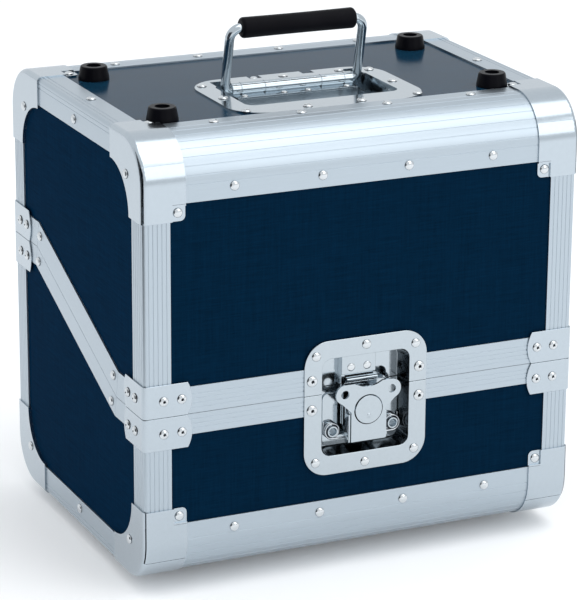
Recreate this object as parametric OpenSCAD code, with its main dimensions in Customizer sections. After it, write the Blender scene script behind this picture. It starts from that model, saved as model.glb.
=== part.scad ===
// Record carrying case: plywood panels in aluminium extrusions, a slanted split line,
// pressed steel corners, one recessed butterfly latch and a recessed bail handle.
// X runs along the front, Y to the back, Z up. The origin is on the floor, centred.

/* [Case] */
// Outside width over the aluminium
case_w = 363; // [340:1:420]
// Outside depth over the aluminium
case_d = 280; // [250:1:360]
// Outside height over the aluminium, without feet
case_h = 349; // [330:1:400]
// Radius of the four long rounded edges
corner_r = 35; // [28:1:40]
// Radius of the square edges
edge_r = 3; // [2:0.5:4]
// Thickness of the plywood panels
ply_t = 9; // [6:0.5:10]
// Thickness of the aluminium skins
skin_t = 1.5; // [1.2:0.1:2]
// Clearance round the edges of a panel
panel_fit = 0.2; // [0.1:0.05:0.4]

/* [Split line] */
// Height of the split at the front
split_front = 136; // [120:1:160]
// Height of the split at the back
split_back = 208; // [180:1:230]
// Distance of the front bend of the split from the front
bend_front = 57; // [50:1:75]
// Distance of the back bend of the split from the back
bend_back = 51; // [45:1:75]
// Gap between the closed lid and the base
split_gap = 0.3; // [0.3:0.1:1]
// Height of the strip along the lid's edge
lid_strip_h = 21.5; // [18:0.5:24]
// Height of the strip along the base's edge
base_strip_h = 16.5; // [14:0.5:20]
// Height of the inner wall of both strips
strip_inner_h = 12; // [8:0.5:14]
// Height of the locating tongue on the base
tongue_h = 2.5; // [2:0.1:3]
// Thickness of the tongue
tongue_t = 2; // [1.5:0.1:2.5]
// Distance of the tongue from the outside
tongue_in = 3.5; // [3.2:0.1:4]
// Room in front of the tongue
groove_front = 0.9; // [0.6:0.1:1.2]
// Room behind the tongue
groove_back = 2.1; // [1.6:0.1:2.4]
// Room over the tongue
groove_top = 0.8; // [0.4:0.1:1.2]

/* [Extrusions] */
// Reach of the rounded rails along each face
rail_leg = 48.5; // [46:0.5:52]
// Length of the inner lip of the rails
rail_lip = 8; // [5:0.5:10]
// Leg of the angles and posts
angle_leg = 22; // [20:0.5:24]
// Width of a fine groove in an extrusion
fine_w = 0.6; // [0.4:0.1:0.9]
// Depth of a fine groove
fine_d = 0.3; // [0.2:0.05:0.5]
// Spacing of the fine grooves
fine_pitch = 3.6; // [3:0.1:4.5]
// Spacing of the grooves round the rails
rail_pitch = 6.8; // [5:0.1:9]

/* [Pressed corners] */
// Thickness of the pressed steel
plate_t = 1.2; // [1:0.1:1.4]
// Length of a corner cap along each edge
cap_len = 61.5; // [58:0.5:66]
// Width of the curved band of a cap
cap_w = 34; // [30:0.5:38]
// Width of the legs of a cap on the side
cap_leg = 24.5; // [24:0.5:28]
// Leg of the brackets that guard the split
bracket_leg = 38.5; // [36:0.5:42]
// Height of a bracket
bracket_h = 25.8; // [24:0.2:28]
// Bulge of a bracket's end
bracket_bulge = 3.5; // [2:0.5:5]
// Place of the seam across the bend of a cap, in degrees from the upright face
cap_seam = 27; // [15:1:75]
// Width of the slit that leaves one edge of a cap open
cap_slit = 0.8; // [0.5:0.1:1]

/* [Rivets] */
// Diameter of the rivet heads
rivet_d = 7.6; // [6:0.1:8]
// Diameter of the larger heads beside the split of the latch
edge_rivet_d = 8.8; // [7:0.1:9.4]
// Height of the rivet heads
rivet_h = 1.9; // [1.2:0.1:2.4]
// Spacing of the rivets along the rails
rivet_pitch = 72; // [60:1:76]
// Distance of the rivets from the edge of a flange
rivet_inset = 9.3; // [8:0.1:10]

/* [Latch] */
// Distance of the latch to the right of the middle
latch_x = 1.7; // [0:0.1:3]
// Flange height over the split
latch_up = 42.5; // [42:0.5:46]
// Corner radius of the flange
latch_r = 20; // [16:1:24]
// Width of the flange rim
latch_rim = 14.8; // [14:0.1:16]
// Depth of the dish
latch_depth = 16; // [16:0.5:18]
// Taper of the dish walls
latch_taper = 2; // [1:0.5:2.5]
// Radius of the corners of the dish
open_r = 8; // [6:0.5:9]
// Sideways offset of the mechanism in the dish
mech_x = 2.6; // [0:0.2:3]
// Distance of the turning axis under the split
axis_drop = 17.5; // [17:0.5:18.5]
// Radius of the hub
hub_r = 11.4; // [10:0.1:12]
// Clearance of the handle round the hub
hub_gap = 0.8; // [0.6:0.1:1.2]
// Radius of the eccentric that lifts the hook
cam_r = 7.5; // [7:0.1:8]
// Throw of the eccentric
cam_throw = 3; // [2.5:0.1:3.2]
// Play of the eccentric in the hook
cam_play = 0.95; // [0.9:0.05:1.1]
// Thickness of the mechanism's steel
mech_t = 1.5; // [1.4:0.1:1.6]
// Radius of the latch axle
axle_r = 4; // [3.5:0.1:4.5]
// Radial running fit of pins and axles
run_fit = 0.06; // [0.04:0.01:0.1]
// Thickness of the butterfly handle
wing_t = 2; // [1.8:0.1:2.2]
// Distance between the centres of the butterfly's ears
ear_span = 39.8; // [36:0.2:41]
// Height of the ears over the axis
ear_rise = 14.3; // [13:0.1:15]
// Radius of the ears
ear_r = 7.8; // [7:0.1:8]
// Radius of the holes in the ears
ear_hole_r = 3.4; // [2.5:0.1:4]
// Width of the butterfly's stem
stem_w = 29; // [28:0.2:30]
// Reach of the stem under the axis
stem_drop = 25.4; // [24.5:0.1:26]
// Radius of the fold pin
fold_pin_r = 1.4; // [1.2:0.1:1.6]
// Wire radius of the springs
wire_r = 0.75; // [0.6:0.05:0.8]
// Mean radius of the spring coils
coil_r = 6; // [5.5:0.1:6.2]
// Rise of the wire in one turn
coil_pitch = 2; // [1.95:0.05:2.2]
// Turns of a spring
coil_turns = 2.25; // [1.25:1:2.25]

/* [Handle] */
// Width of the handle dish flange
dish_w = 163; // [155:1:170]
// Depth of the handle dish flange
dish_d = 112; // [108:1:112]
// Corner radius of the handle dish flange
dish_r = 28; // [20:1:32]
// Depth of the handle recess under the panel's face
recess_depth = 13; // [12:0.5:14]
// Distance between the legs of the bail
bail_span = 114; // [104:1:118]
// Radius of the bail's rod
rod_r = 3.75; // [3:0.05:4]
// Distance of the grip's centre from the pivot
bail_h = 52.5; // [46:0.5:54]
// Forward lean of the raised handle, in degrees
bail_lean = 12.5; // [0:0.5:20]
// Bend radius of the bail's upper corners
bail_bend = 9; // [8:0.5:12]
// Length of the grip
grip_len = 97; // [80:1:98]
// Radius of the grip
grip_r = 8.25; // [7:0.05:8.5]
// Distance of the pivot behind the front edge of the handle dish
pivot_back = 87.5; // [86:0.5:89]
// Drop of the pivot under the top of the case
pivot_drop = 3; // [2:0.5:4]
// Wall of the rolled barrel
barrel_t = 1.4; // [1.2:0.1:1.6]

/* [Feet] */
// Height of the rubber feet
foot_h = 11; // [8:0.5:14]
// Radius of a foot where it sits
foot_r = 12.3; // [11:0.1:13]
// Radius of a foot at its end
foot_end_r = 10.5; // [9:0.1:11]
// Radius of the screws in the feet
screw_r = 2.1; // [1.8:0.1:2.4]
// Radius of the heads of these screws
screw_head_r = 4.5; // [4:0.1:5]
// Depth of the heads in the feet
screw_sink = 6; // [4:0.5:7]
// Distance of the front feet's edge from the sides of the case
foot_side = 29.7; // [29:0.1:40]
// Gap between the front feet and the front rail
foot_front_gap = 2.6; // [2.6:0.2:6]
// Gap between the back feet and the back rail
foot_back_gap = 13; // [8:0.5:20]

/* [Hinges] */
// Length of a hinge
hinge_len = 60; // [50:1:80]
// Distance of the hinges from the middle
hinge_x = 100; // [80:1:105]
// Radius of the knuckles
knuckle_r = 4; // [3.6:0.1:4.5]
// Radius of the hinge pins
pin_r = 2; // [1.6:0.1:2.2]
// Gap between the knuckles and the case
knuckle_gap = 0.4; // [0.3:0.1:0.8]
// Room at each end of a knuckle
knuckle_side = 0.15; // [0.1:0.05:0.3]
// Knuckles on one hinge
knuckles = 5; // [3:2:7]

/* [Lining] */
// Thickness of the foam pads
foam_t = 5; // [3:0.5:5]

/* [Hidden] */
$fn = 64;
eps = 0.01;
in_w = case_w - 2 * (skin_t + ply_t);
wall_in = skin_t + ply_t;
wall_full = wall_in + skin_t;
front_y = -case_d / 2;
gap2 = split_gap / 2;
slope = atan((split_back - split_front) / (case_d - bend_front - bend_back));
rim_roof = groove_top + tongue_h + 1.4;
post_x = case_w / 2 - angle_leg;
plate_r = edge_r + plate_t;
axis_z = -axis_drop;
spring_x = ear_span / 2 + 5.9;
spring_z = axis_z - 18;
swing_r = norm([ear_span / 2, ear_rise]) + ear_r;
open_w = 2 * (mech_x + spring_x + coil_r + wire_r + latch_taper + 0.15);
open_up = latch_up - latch_rim + 0.3;
open_down = axis_drop + swing_r + 1.4;
latch_w = open_w + 2 * latch_rim;
latch_down = open_down + latch_rim + 0.5;
dish_cut = plate_t + 0.5;
fold_z = axis_z - stem_drop + 2.6;
fold_d = 3;
web_front = 6;
web_back = web_front + mech_t;
strike_front = web_back + 2.5;
hook_front = strike_front + mech_t + 0.8;
hook_back = hook_front + mech_t;
base_plate_d = latch_depth - mech_t;
bar_low = -1.5;
bar_high = 2.3;
lip_r = 1.5;
lip_z = bar_high + 0.3 + lip_r;
strike_left = -18.5;
strike_right = 22.9;
strike_top = open_up - latch_taper - 0.6;
window_left = -15.5;
window_right = 19.7;
window_top = 12.4;
keeper_front = strike_front - plate_t;
keeper_head_h = rivet_h * 0.45;
keeper_right = 10.3;
keeper_low = 9.8;
keeper_rivets = [-10.6, 3.1];
keeper_rivet_z = (keeper_low + strike_top) / 2 - 2.5;
hub_front = -1.8;
stop_x = 13;
leg_len = 7;
coil_steps = 24;
coil_start = base_plate_d - wire_r - 0.15;
plate_high = -6;
post_out = coil_r - wire_r - 0.9;
post_in = post_out - 1.1;
pivot_z = case_h - pivot_drop;
panel_top = case_h - skin_t;
barrel_r = rod_r + run_fit + barrel_t;
dish_front = front_y + rail_leg + 1;
dish_back = dish_front + dish_d;
dish_mid = (dish_front + dish_back) / 2;
pivot_y = dish_front + pivot_back;
step_z = pivot_z - barrel_r;
notch_x = dish_w * 0.14;
notch_w = 10;
notch_d = 8;
leaf_reach = 14;
recess_front = pivot_y - bail_h - grip_r - 2.7;
recess_back = pivot_y + barrel_r + 0.8;
recess_half = bail_span / 2 + rod_r + 4.2;
well_back = pivot_y + 18;
barrel_half = bail_span / 2 - rod_r - 1.5;
knuckle_y = case_d / 2 + knuckle_r + knuckle_gap;
shift_y = (knuckle_y + knuckle_r - case_d / 2 - plate_t - rivet_h) / 2;
rail_rivet = rail_leg - rivet_inset;
foot_x = case_w / 2 - foot_side - foot_r;
foot_front_y = front_y + rail_leg + foot_front_gap + foot_r;
foot_back_y = -front_y - rail_leg - foot_back_gap - foot_r;

// ---------- colours ----------
module panel_blue() color([0.04, 0.13, 0.21]) children();
module aluminium() color([0.83, 0.85, 0.87]) children();
module pressed_steel() color([0.78, 0.80, 0.83]) children();
module chrome() color([0.88, 0.90, 0.92]) children();
module black_rubber() color([0.06, 0.06, 0.07]) children();
module foam_grey() color([0.16, 0.16, 0.17]) children();

// ---------- placing ----------
// The shell stands on its feet, and the whole is centred from the front rivets to the hinges.
module on_feet() translate([0, -shift_y, foot_h]) children();

// Extrudes a drawing made in (Y, Z) from x0 to x1.
module along_x(x0, x1) translate([x0, 0, 0]) rotate([90, 0, 90]) linear_extrude(x1 - x0) children();

// Extrudes a drawing made in (X, Z) between two depths behind the local front.
module sheet(d0, d1) translate([0, d1, 0]) rotate([90, 0, 0]) linear_extrude(d1 - d0) children();

// Copies a piece made for the left side to the right side.
module both_sides() {
    children();
    mirror([1, 0, 0]) children();
}

// Copies a piece made for the front to the back.
module front_and_back() {
    children();
    mirror([0, 1, 0]) children();
}

// Turns a piece made at the bottom into the one at the top.
module upside_down() translate([0, 0, case_h]) mirror([0, 0, 1]) children();

// Places a corner piece, made with its corner at the origin, at four bottom corners.
module four_corners() both_sides() front_and_back() translate([-case_w / 2, front_y, 0]) children();

// ---------- plane shapes ----------
module round_rect(w, h, r) {
    square([w - 2 * r, h], center = true);
    square([w, h - 2 * r], center = true);
    for (sx = [-1, 1], sy = [-1, 1])
        translate([sx * (w / 2 - r), sy * (h / 2 - r)]) circle(r);
}

// A box in the plane from (x0, y0) to (x1, y1).
module box2(x0, y0, x1, y1) translate([x0, y0]) square([x1 - x0, y1 - y0]);

// A quarter ring with its centre at (r, r), nearest to the origin.
module quarter_ring(centre, outer, inner) {
    intersection() {
        translate([centre, centre])
            difference() {
                circle(outer);
                circle(inner);
            }
        box2(centre - outer - 1, centre - outer - 1, centre, centre);
    }
}

// The outline of the case seen from the side, drawn inwards by inset.
module case_outline(inset) {
    translate([0, case_h / 2])
        round_rect(case_d - 2 * inset, case_h - 2 * inset, corner_r - inset);
}

// The split line, moved up by offset at right angles to itself.
function split_path(offset) = [
    [front_y - 1, split_front + offset],
    [front_y + bend_front - offset * tan(slope / 2), split_front + offset],
    [-front_y - bend_back - offset * tan(slope / 2), split_back + offset],
    [-front_y + 1, split_back + offset]
];

// Reverses a list of points.
function backwards(points) = [for (i = [len(points) - 1 : -1 : 0]) points[i]];

// The band between two offsets of the split line.
module split_band(low, high) polygon(concat(split_path(low), backwards(split_path(high))));

// All that lies under, or over, an offset of the split line.
module below_split(offset) polygon(concat(split_path(offset), [[-front_y + 1, -1], [front_y - 1, -1]]));
module above_split(offset)
    polygon(concat(split_path(offset), [[-front_y + 1, case_h + 1], [front_y - 1, case_h + 1]]));

// Fine grooves cut from the outer face of a leg.
module fine_grooves(first, last) {
    for (p = [first : fine_pitch : last])
        box2(p - fine_w / 2, -1, p + fine_w / 2, fine_d);
}

// ---------- panels ----------
module base_bottom_panel() panel_blue() on_feet()
    translate([-in_w / 2, front_y + corner_r + panel_fit, skin_t])
        cube([in_w, case_d - 2 * (corner_r + panel_fit), ply_t]);

module front_wall(z0, z1) translate([-in_w / 2, front_y + skin_t, z0]) cube([in_w, ply_t, z1 - z0]);

module base_front_panel() panel_blue() on_feet() difference() {
    front_wall(corner_r + panel_fit, split_front - gap2 - skin_t - panel_fit);
    latch_cut();
}

module base_back_panel() panel_blue() on_feet() mirror([0, 1, 0])
    front_wall(corner_r + panel_fit, split_back - gap2 - skin_t - panel_fit);

module side_sheet() along_x(-case_w / 2 + skin_t, -in_w / 2) children();

module base_left_panel() panel_blue() on_feet() side_sheet() intersection() {
    case_outline(skin_t + panel_fit);
    below_split(-gap2 - skin_t - panel_fit);
}

module base_right_panel() mirror([1, 0, 0]) base_left_panel();

module lid_top_panel() panel_blue() on_feet() difference() {
    translate([-in_w / 2, front_y + corner_r + panel_fit, case_h - skin_t - ply_t])
        cube([in_w, case_d - 2 * (corner_r + panel_fit), ply_t]);
    translate([0, 0, case_h - skin_t - ply_t - 1]) linear_extrude(ply_t + 2) recess_cut();
}

module lid_front_panel() panel_blue() on_feet() difference() {
    front_wall(split_front + gap2 + rim_roof + panel_fit, case_h - corner_r - panel_fit);
    latch_cut();
}

module lid_back_panel() panel_blue() on_feet() mirror([0, 1, 0])
    front_wall(split_back + gap2 + rim_roof + panel_fit, case_h - corner_r - panel_fit);

module lid_left_panel() panel_blue() on_feet() side_sheet() intersection() {
    case_outline(skin_t + panel_fit);
    above_split(gap2 + rim_roof + panel_fit);
}

module lid_right_panel() mirror([1, 0, 0]) lid_left_panel();

// ---------- rounded rails ----------
module rail_skin() {
    difference() {
        union() {
            quarter_ring(corner_r, corner_r, corner_r - skin_t);
            box2(corner_r, 0, rail_leg, skin_t);
            box2(0, corner_r, skin_t, rail_leg);
        }
        rail_grooves();
    }
}

module rail_grooves() {
    count = floor(corner_r * PI / 2 / rail_pitch);
    for (i = [0 : count])
        translate([corner_r, corner_r]) rotate(180 + 90 * i / count)
            box2(corner_r - fine_d, -fine_w / 2, corner_r + 1, fine_w / 2);
}

// The inner wall and the webs that make the channels for the panels.
module rail_core() {
    inner_r = corner_r - wall_in;
    quarter_ring(corner_r, inner_r, inner_r - skin_t);
    box2(corner_r, wall_in, corner_r + rail_lip, wall_full);
    box2(wall_in, corner_r, wall_full, corner_r + rail_lip);
    box2(corner_r - skin_t, skin_t / 2, corner_r, wall_full - skin_t / 2);
    box2(skin_t / 2, corner_r - skin_t, wall_full - skin_t / 2, corner_r);
}

module edge_rail() translate([0, front_y, 0]) {
    along_x(-case_w / 2 + edge_r, case_w / 2 - edge_r) rail_skin();
    along_x(-in_w / 2, in_w / 2) rail_core();
}

module base_front_rail() aluminium() on_feet() edge_rail();
module base_back_rail() aluminium() on_feet() mirror([0, 1, 0]) edge_rail();
module lid_front_rail() aluminium() on_feet() upside_down() edge_rail();
module lid_back_rail() aluminium() on_feet() upside_down() mirror([0, 1, 0]) edge_rail();

// ---------- angles and posts ----------
// Section of an angle with its rounded corner at the origin.
module angle_section(leg, grooved) {
    difference() {
        union() {
            difference() {
                quarter_ring(edge_r, edge_r, 0.01);
                box2(skin_t, skin_t, edge_r, edge_r);
            }
            box2(edge_r, 0, leg, skin_t);
            box2(0, edge_r, skin_t, leg);
        }
        fine_grooves(edge_r + 1.2, grooved ? leg - 2 : edge_r + fine_pitch + 1.3);
        mirror([1, -1]) fine_grooves(edge_r + 1.2, grooved ? leg - 2 : edge_r + fine_pitch + 1.3);
    }
}

module side_angle() translate([-case_w / 2, 0, 0])
    rotate([90, 0, 0]) translate([0, 0, front_y + rail_leg])
        linear_extrude(case_d - 2 * rail_leg) angle_section(angle_leg, false);

module base_left_angle() aluminium() on_feet() side_angle();
module base_right_angle() mirror([1, 0, 0]) base_left_angle();
module lid_left_angle() aluminium() on_feet() upside_down() side_angle();
module lid_right_angle() mirror([1, 0, 0]) lid_left_angle();

module post(z0, z1) translate([-case_w / 2, front_y, z0])
    linear_extrude(z1 - z0) angle_section(angle_leg, true);

module base_corner_posts() aluminium() on_feet() both_sides() {
    post(rail_leg, split_front - gap2);
    mirror([0, 1, 0]) post(rail_leg, split_back - gap2);
}

module lid_corner_posts() aluminium() on_feet() both_sides() {
    post(split_front + gap2, case_h - rail_leg);
    mirror([0, 1, 0]) post(split_back + gap2, case_h - rail_leg);
}

// ---------- rims along the split ----------
// Sections in (depth, height over the split).
module base_rim_face() difference() {
    box2(0, -base_strip_h, skin_t, -gap2);
    for (z = [4.5 : fine_pitch : base_strip_h - 4])
        box2(-1, -z - fine_w / 2, fine_d, -z + fine_w / 2);
}

module base_rim_core() {
    box2(skin_t, -gap2 - skin_t, wall_full, -gap2);
    box2(tongue_in, -gap2 - skin_t, tongue_in + tongue_t, tongue_h - gap2);
}

module base_rim_lip() box2(wall_in, -strip_inner_h, wall_full, -gap2);

module lid_rim_face() difference() {
    box2(0, gap2, skin_t, lid_strip_h);
    for (z = [4.5 : fine_pitch : lid_strip_h - 4])
        box2(-1, z - fine_w / 2, fine_d, z + fine_w / 2);
}

module lid_rim_core() difference() {
    union() {
        box2(skin_t, gap2, wall_full, gap2 + skin_t);
        box2(skin_t, gap2, tongue_in + tongue_t + groove_back + 1.2, gap2 + rim_roof);
    }
    box2(tongue_in - groove_front, 0, tongue_in + tongue_t + groove_back, tongue_h + groove_top);
}

module lid_rim_lip() box2(wall_in, gap2, wall_full, strip_inner_h);

module base_rim(split) translate([0, front_y, split]) {
    along_x(-post_x, post_x) base_rim_face();
    along_x(-case_w / 2 + skin_t, case_w / 2 - skin_t) base_rim_core();
    along_x(-in_w / 2, in_w / 2) base_rim_lip();
}

module lid_rim(split) translate([0, front_y, split]) {
    along_x(-post_x, post_x) lid_rim_face();
    along_x(-case_w / 2 + skin_t, case_w / 2 - skin_t) lid_rim_core();
    along_x(-in_w / 2, in_w / 2) lid_rim_lip();
}

module base_front_rim() aluminium() on_feet() difference() {
    base_rim(split_front);
    latch_cut();
}

module lid_front_rim() aluminium() on_feet() difference() {
    lid_rim(split_front);
    latch_cut();
}

module base_back_rim() aluminium() on_feet() mirror([0, 1, 0]) base_rim(split_back);
module lid_back_rim() aluminium() on_feet() mirror([0, 1, 0]) lid_rim(split_back);

// One layer of a side rim: a band of the split line between two depths from the left side.
module rim_layer(d0, d1, low, high, end) along_x(-case_w / 2 + d0, -case_w / 2 + d1)
    intersection() {
        split_band(low, high);
        box2(front_y + end, 0, -front_y - end, case_h);
    }

// The mitred joints of the strip show as fine lines.
module mitre_lines(low, high) {
    for (bend = [front_y + bend_front, -front_y - bend_back])
        translate([-case_w / 2, bend, bend < 0 ? split_front : split_back])
            rotate([slope / 2, 0, 0])
                translate([-1, -fine_w / 4, low]) cube([1 + fine_d, fine_w / 2, high - low]);
}

module base_left_rim() aluminium() on_feet() {
    difference() {
        rim_layer(0, skin_t, -base_strip_h, -gap2, angle_leg);
        mitre_lines(-base_strip_h - 2, 0);
    }
    rim_layer(skin_t, wall_full, -gap2 - skin_t, -gap2, wall_full);
    rim_layer(tongue_in, tongue_in + tongue_t, -gap2 - skin_t, tongue_h - gap2, wall_full);
    rim_layer(wall_in, wall_full, -strip_inner_h, -gap2, wall_full);
}

module base_right_rim() mirror([1, 0, 0]) base_left_rim();

module lid_left_rim() aluminium() on_feet() {
    groove_in = tongue_in - groove_front;
    groove_out = tongue_in + tongue_t + groove_back;
    difference() {
        rim_layer(0, skin_t, gap2, lid_strip_h, angle_leg);
        mitre_lines(0, lid_strip_h + 2);
    }
    rim_layer(skin_t, groove_in, gap2, gap2 + rim_roof, wall_full);
    rim_layer(groove_in, groove_out, tongue_h + groove_top, gap2 + rim_roof, wall_full);
    rim_layer(groove_out, groove_out + 1.2, gap2, gap2 + rim_roof, wall_full);
    rim_layer(groove_out + 1.2, wall_full, gap2, gap2 + skin_t, wall_full);
    rim_layer(wall_in, wall_full, gap2, strip_inner_h, wall_full);
}

module lid_right_rim() mirror([1, 0, 0]) lid_left_rim();

// ---------- corner caps ----------
// Section of the cap's edge in (inwards from the side, outwards from the face).
module cap_section(reach) {
    intersection() {
        translate([edge_r, -edge_r])
            difference() {
                circle(plate_r);
                circle(edge_r);
            }
        box2(-plate_t - 1, -edge_r, edge_r, plate_t + 1);
    }
    box2(edge_r, 0, reach, plate_t);
    box2(-plate_t, -edge_r - 1, 0, -edge_r);
}

// The leg of a cap along one face, with a tab that is pressed down to the panel.
module cap_half() {
    translate([0, 0, corner_r]) mirror([0, 1, 0])
        linear_extrude(rail_leg - corner_r) cap_section(cap_w);
    translate([0, 0, rail_leg]) mirror([0, 1, 0])
        linear_extrude(cap_len - rail_leg) cap_section(angle_leg + plate_t);
    cap_tab();
}

module cap_tab() {
    tab_x = angle_leg + panel_fit;
    sheet(skin_t - plate_t, skin_t)
        difference() {
            box2(tab_x, rail_leg + panel_fit, cap_w, cap_len);
            translate([cap_w - 4, cap_len - 4])
                difference() {
                    square(5);
                    circle(4);
                }
        }
    sheet(-plate_t, skin_t) box2(tab_x, rail_leg + panel_fit, cap_w, rail_leg + panel_fit + plate_t);
    sheet(-plate_t, skin_t) box2(tab_x, rail_leg + panel_fit, tab_x + plate_t, cap_len);
}

// The curved edge that wraps the end of a rounded rail.
module cap_bend() round_bend()
    rotate_extrude(angle = 90) translate([corner_r, 0]) mirror([1, -1]) cap_section(cap_w);

// The fan on the side of the case, with its hollow inner edge turned down to the panel.
module cap_fan() {
    hollow_r = cap_len - cap_leg;
    rotate([90, 0, 90]) translate([0, 0, -plate_t]) linear_extrude(plate_t)
        difference() {
            intersection() {
                box2(edge_r, edge_r, cap_len, cap_len);
                union() {
                    translate([corner_r, corner_r]) circle(corner_r - edge_r);
                    box2(corner_r, 0, cap_len, cap_len);
                    box2(0, corner_r, cap_len, cap_len);
                }
            }
            translate([cap_len, cap_len]) circle(hollow_r);
        }
    rotate([90, 0, 90]) linear_extrude(skin_t)
        intersection() {
            translate([cap_len, cap_len])
                difference() {
                    circle(hollow_r + plate_t);
                    circle(hollow_r);
                }
            box2(0, 0, cap_len, cap_len);
        }
}

// Turns a ring that is drawn round the bend of a cap into its place.
module round_bend() multmatrix([[0, 0, 1, 0], [-1, 0, 0, corner_r], [0, -1, 0, corner_r], [0, 0, 0, 1]])
    children();

// The slit between the fan and the upright leg, and the seam where the slit ends.
module cap_opening() {
    far = corner_r + plate_t + 1;
    translate([0, -plate_t - 1, corner_r]) cube([cap_slit, edge_r + plate_t + 1.5, cap_len]);
    round_bend() {
        rotate_extrude(angle = cap_seam) box2(corner_r - edge_r - 0.5, 0, far, cap_slit);
        rotate([0, 0, cap_seam]) translate([corner_r + plate_t / 2, -cap_slit / 4, -plate_t - 1])
            cube([plate_t, cap_slit / 2, cap_w + plate_t + 2]);
    }
}

module corner_cap() difference() {
    union() {
        cap_half();
        mirror([0, 1, -1]) cap_half();
        cap_bend();
        cap_fan();
    }
    cap_opening();
}

module base_corner_caps() pressed_steel() on_feet() four_corners() corner_cap();
module lid_corner_caps() pressed_steel() on_feet() upside_down() four_corners() corner_cap();

// ---------- brackets over the split ----------
// Leg of a bracket with its bulging end, in (along the face, up).
module bracket_leg_shape() {
    bulge_r = (pow(bracket_h / 2, 2) + pow(bracket_bulge, 2)) / (2 * bracket_bulge);
    intersection() {
        box2(edge_r, 0, bracket_leg, bracket_h);
        translate([bracket_leg - bulge_r, bracket_h / 2]) circle(bulge_r);
    }
}

module bracket_half() sheet(-plate_t, 0) bracket_leg_shape();

// An angle bracket with its lower corner at the origin.
module bracket() {
    bracket_half();
    mirror([1, -1, 0]) bracket_half();
    linear_extrude(bracket_h) intersection() {
        translate([edge_r, edge_r])
            difference() {
                circle(plate_r);
                circle(edge_r);
            }
        box2(-plate_t - 1, -plate_t - 1, edge_r, edge_r);
    }
}

module bracket_at(z) translate([-case_w / 2, front_y, z]) bracket();

module base_brackets() pressed_steel() on_feet() both_sides() {
    bracket_at(split_front - gap2 - bracket_h);
    mirror([0, 1, 0]) bracket_at(split_back - gap2 - bracket_h);
}

module lid_brackets() pressed_steel() on_feet() both_sides() {
    bracket_at(split_front + gap2);
    mirror([0, 1, 0]) bracket_at(split_back + gap2);
}

// ---------- rivets ----------
// A domed head, standing on the plane through the origin.
module dome(d, h) {
    ball = (d * d / 4 + h * h) / (2 * h);
    rotate_extrude() intersection() {
        translate([0, h - ball]) circle(ball);
        box2(0, 0, d, h + 1);
    }
}

module rivet() dome(rivet_d, rivet_h);

// Rivets on the front face (local XZ), the left face (local YZ) and the top or bottom face.
module front_rivet(x, z, level) translate([x, front_y - level, z]) rotate([90, 0, 0]) rivet();
module left_rivet(y, z, level) translate([-case_w / 2 - level, y, z]) rotate([0, -90, 0]) rivet();
module bottom_rivet(x, y, level) translate([x, y, -level]) rotate([180, 0, 0]) rivet();

module rail_rivets() front_and_back() {
    for (i = [-1.5 : 1 : 1.5]) {
        front_rivet(i * rivet_pitch, rail_rivet, 0);
        bottom_rivet(i * rivet_pitch, front_y + rail_rivet, 0);
    }
}

module cap_rivets() {
    tab_x = -case_w / 2 + (angle_leg + cap_w) / 2;
    tab_v = (rail_leg + cap_len) / 2;
    fan_v = cap_len - (cap_len - cap_leg + 8) * sin(45);
    both_sides() front_and_back() {
        front_rivet(tab_x, tab_v, plate_t - skin_t);
        bottom_rivet(tab_x, front_y + tab_v, plate_t - skin_t);
        left_rivet(front_y + fan_v, fan_v, plate_t);
    }
}

module angle_rivets() both_sides() {
    left_rivet(0, angle_leg - 7.7, 0);
    bottom_rivet(-case_w / 2 + angle_leg - 7.7, 0, 0);
}

module bracket_rivets(z) both_sides() {
    for (leg = [0.4, 0.78]) {
        front_rivet(-case_w / 2 + leg * bracket_leg, z, plate_t);
        left_rivet(front_y + leg * bracket_leg, z, plate_t);
    }
}

// Rivets in the side strips, one near each end.
module strip_rivets(offset) both_sides() {
    start = split_path(offset)[1];
    end = split_path(offset)[2];
    left_rivet(start[0] + 9 * cos(slope), start[1] + 9 * sin(slope), 0);
    left_rivet(end[0] - 5 * cos(slope), end[1] - 5 * sin(slope), 0);
}

module hinge_rivets(z) both_sides() {
    for (x = [-0.38, 0, 0.38])
        translate([hinge_x + x * hinge_len, case_d / 2 + skin_t, z])
            rotate([-90, 0, 0]) dome(rivet_d, rivet_h * 0.75);
}

module base_rivets() chrome() on_feet() {
    rail_rivets();
    cap_rivets();
    angle_rivets();
    bracket_rivets(split_front - gap2 - bracket_h / 2);
    mirror([0, 1, 0]) bracket_rivets(split_back - gap2 - bracket_h / 2);
    strip_rivets(-base_strip_h * 0.6);
    hinge_rivets(split_back - base_strip_h + 5);
}

module lid_rivets() chrome() on_feet() {
    upside_down() {
        rail_rivets();
        cap_rivets();
        angle_rivets();
    }
    bracket_rivets(split_front + gap2 + bracket_h / 2);
    mirror([0, 1, 0]) bracket_rivets(split_back + gap2 + bracket_h / 2);
    strip_rivets(lid_strip_h * 0.57);
    hinge_rivets(split_back + lid_strip_h - 8);
}

// ---------- feet ----------
// A foot stands on the panel's face and reaches to the given height.
module foot(height) rotate_extrude() difference() {
    polygon([[0, 0], [foot_r, 0], [foot_r, 1.5], [foot_end_r, height], [0, height]]);
    box2(-1, -1, screw_r + 0.4, height + 1);
    box2(-1, height - screw_sink, screw_head_r + 1.3, height + 1);
    translate([foot_end_r - 1, height - 1]) difference() {
        square(2);
        circle(1);
    }
}

module foot_screw(height) {
    translate([0, 0, height - screw_sink]) dome(2 * screw_head_r, 2.4);
    cylinder(h = height - screw_sink, r = screw_r);
}

module at_feet() {
    for (y = [foot_front_y, foot_back_y]) translate([foot_x, y, 0]) children();
}

// Room for the tabs of the caps under the edge of a foot.
module tab_room() front_and_back()
    translate([case_w / 2 - cap_w - 0.1, front_y, -1]) cube([cap_w, cap_len + 0.1, plate_t + 1.1]);

module feet_set(height) both_sides() difference() {
    at_feet() foot(height);
    tab_room();
}

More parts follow.
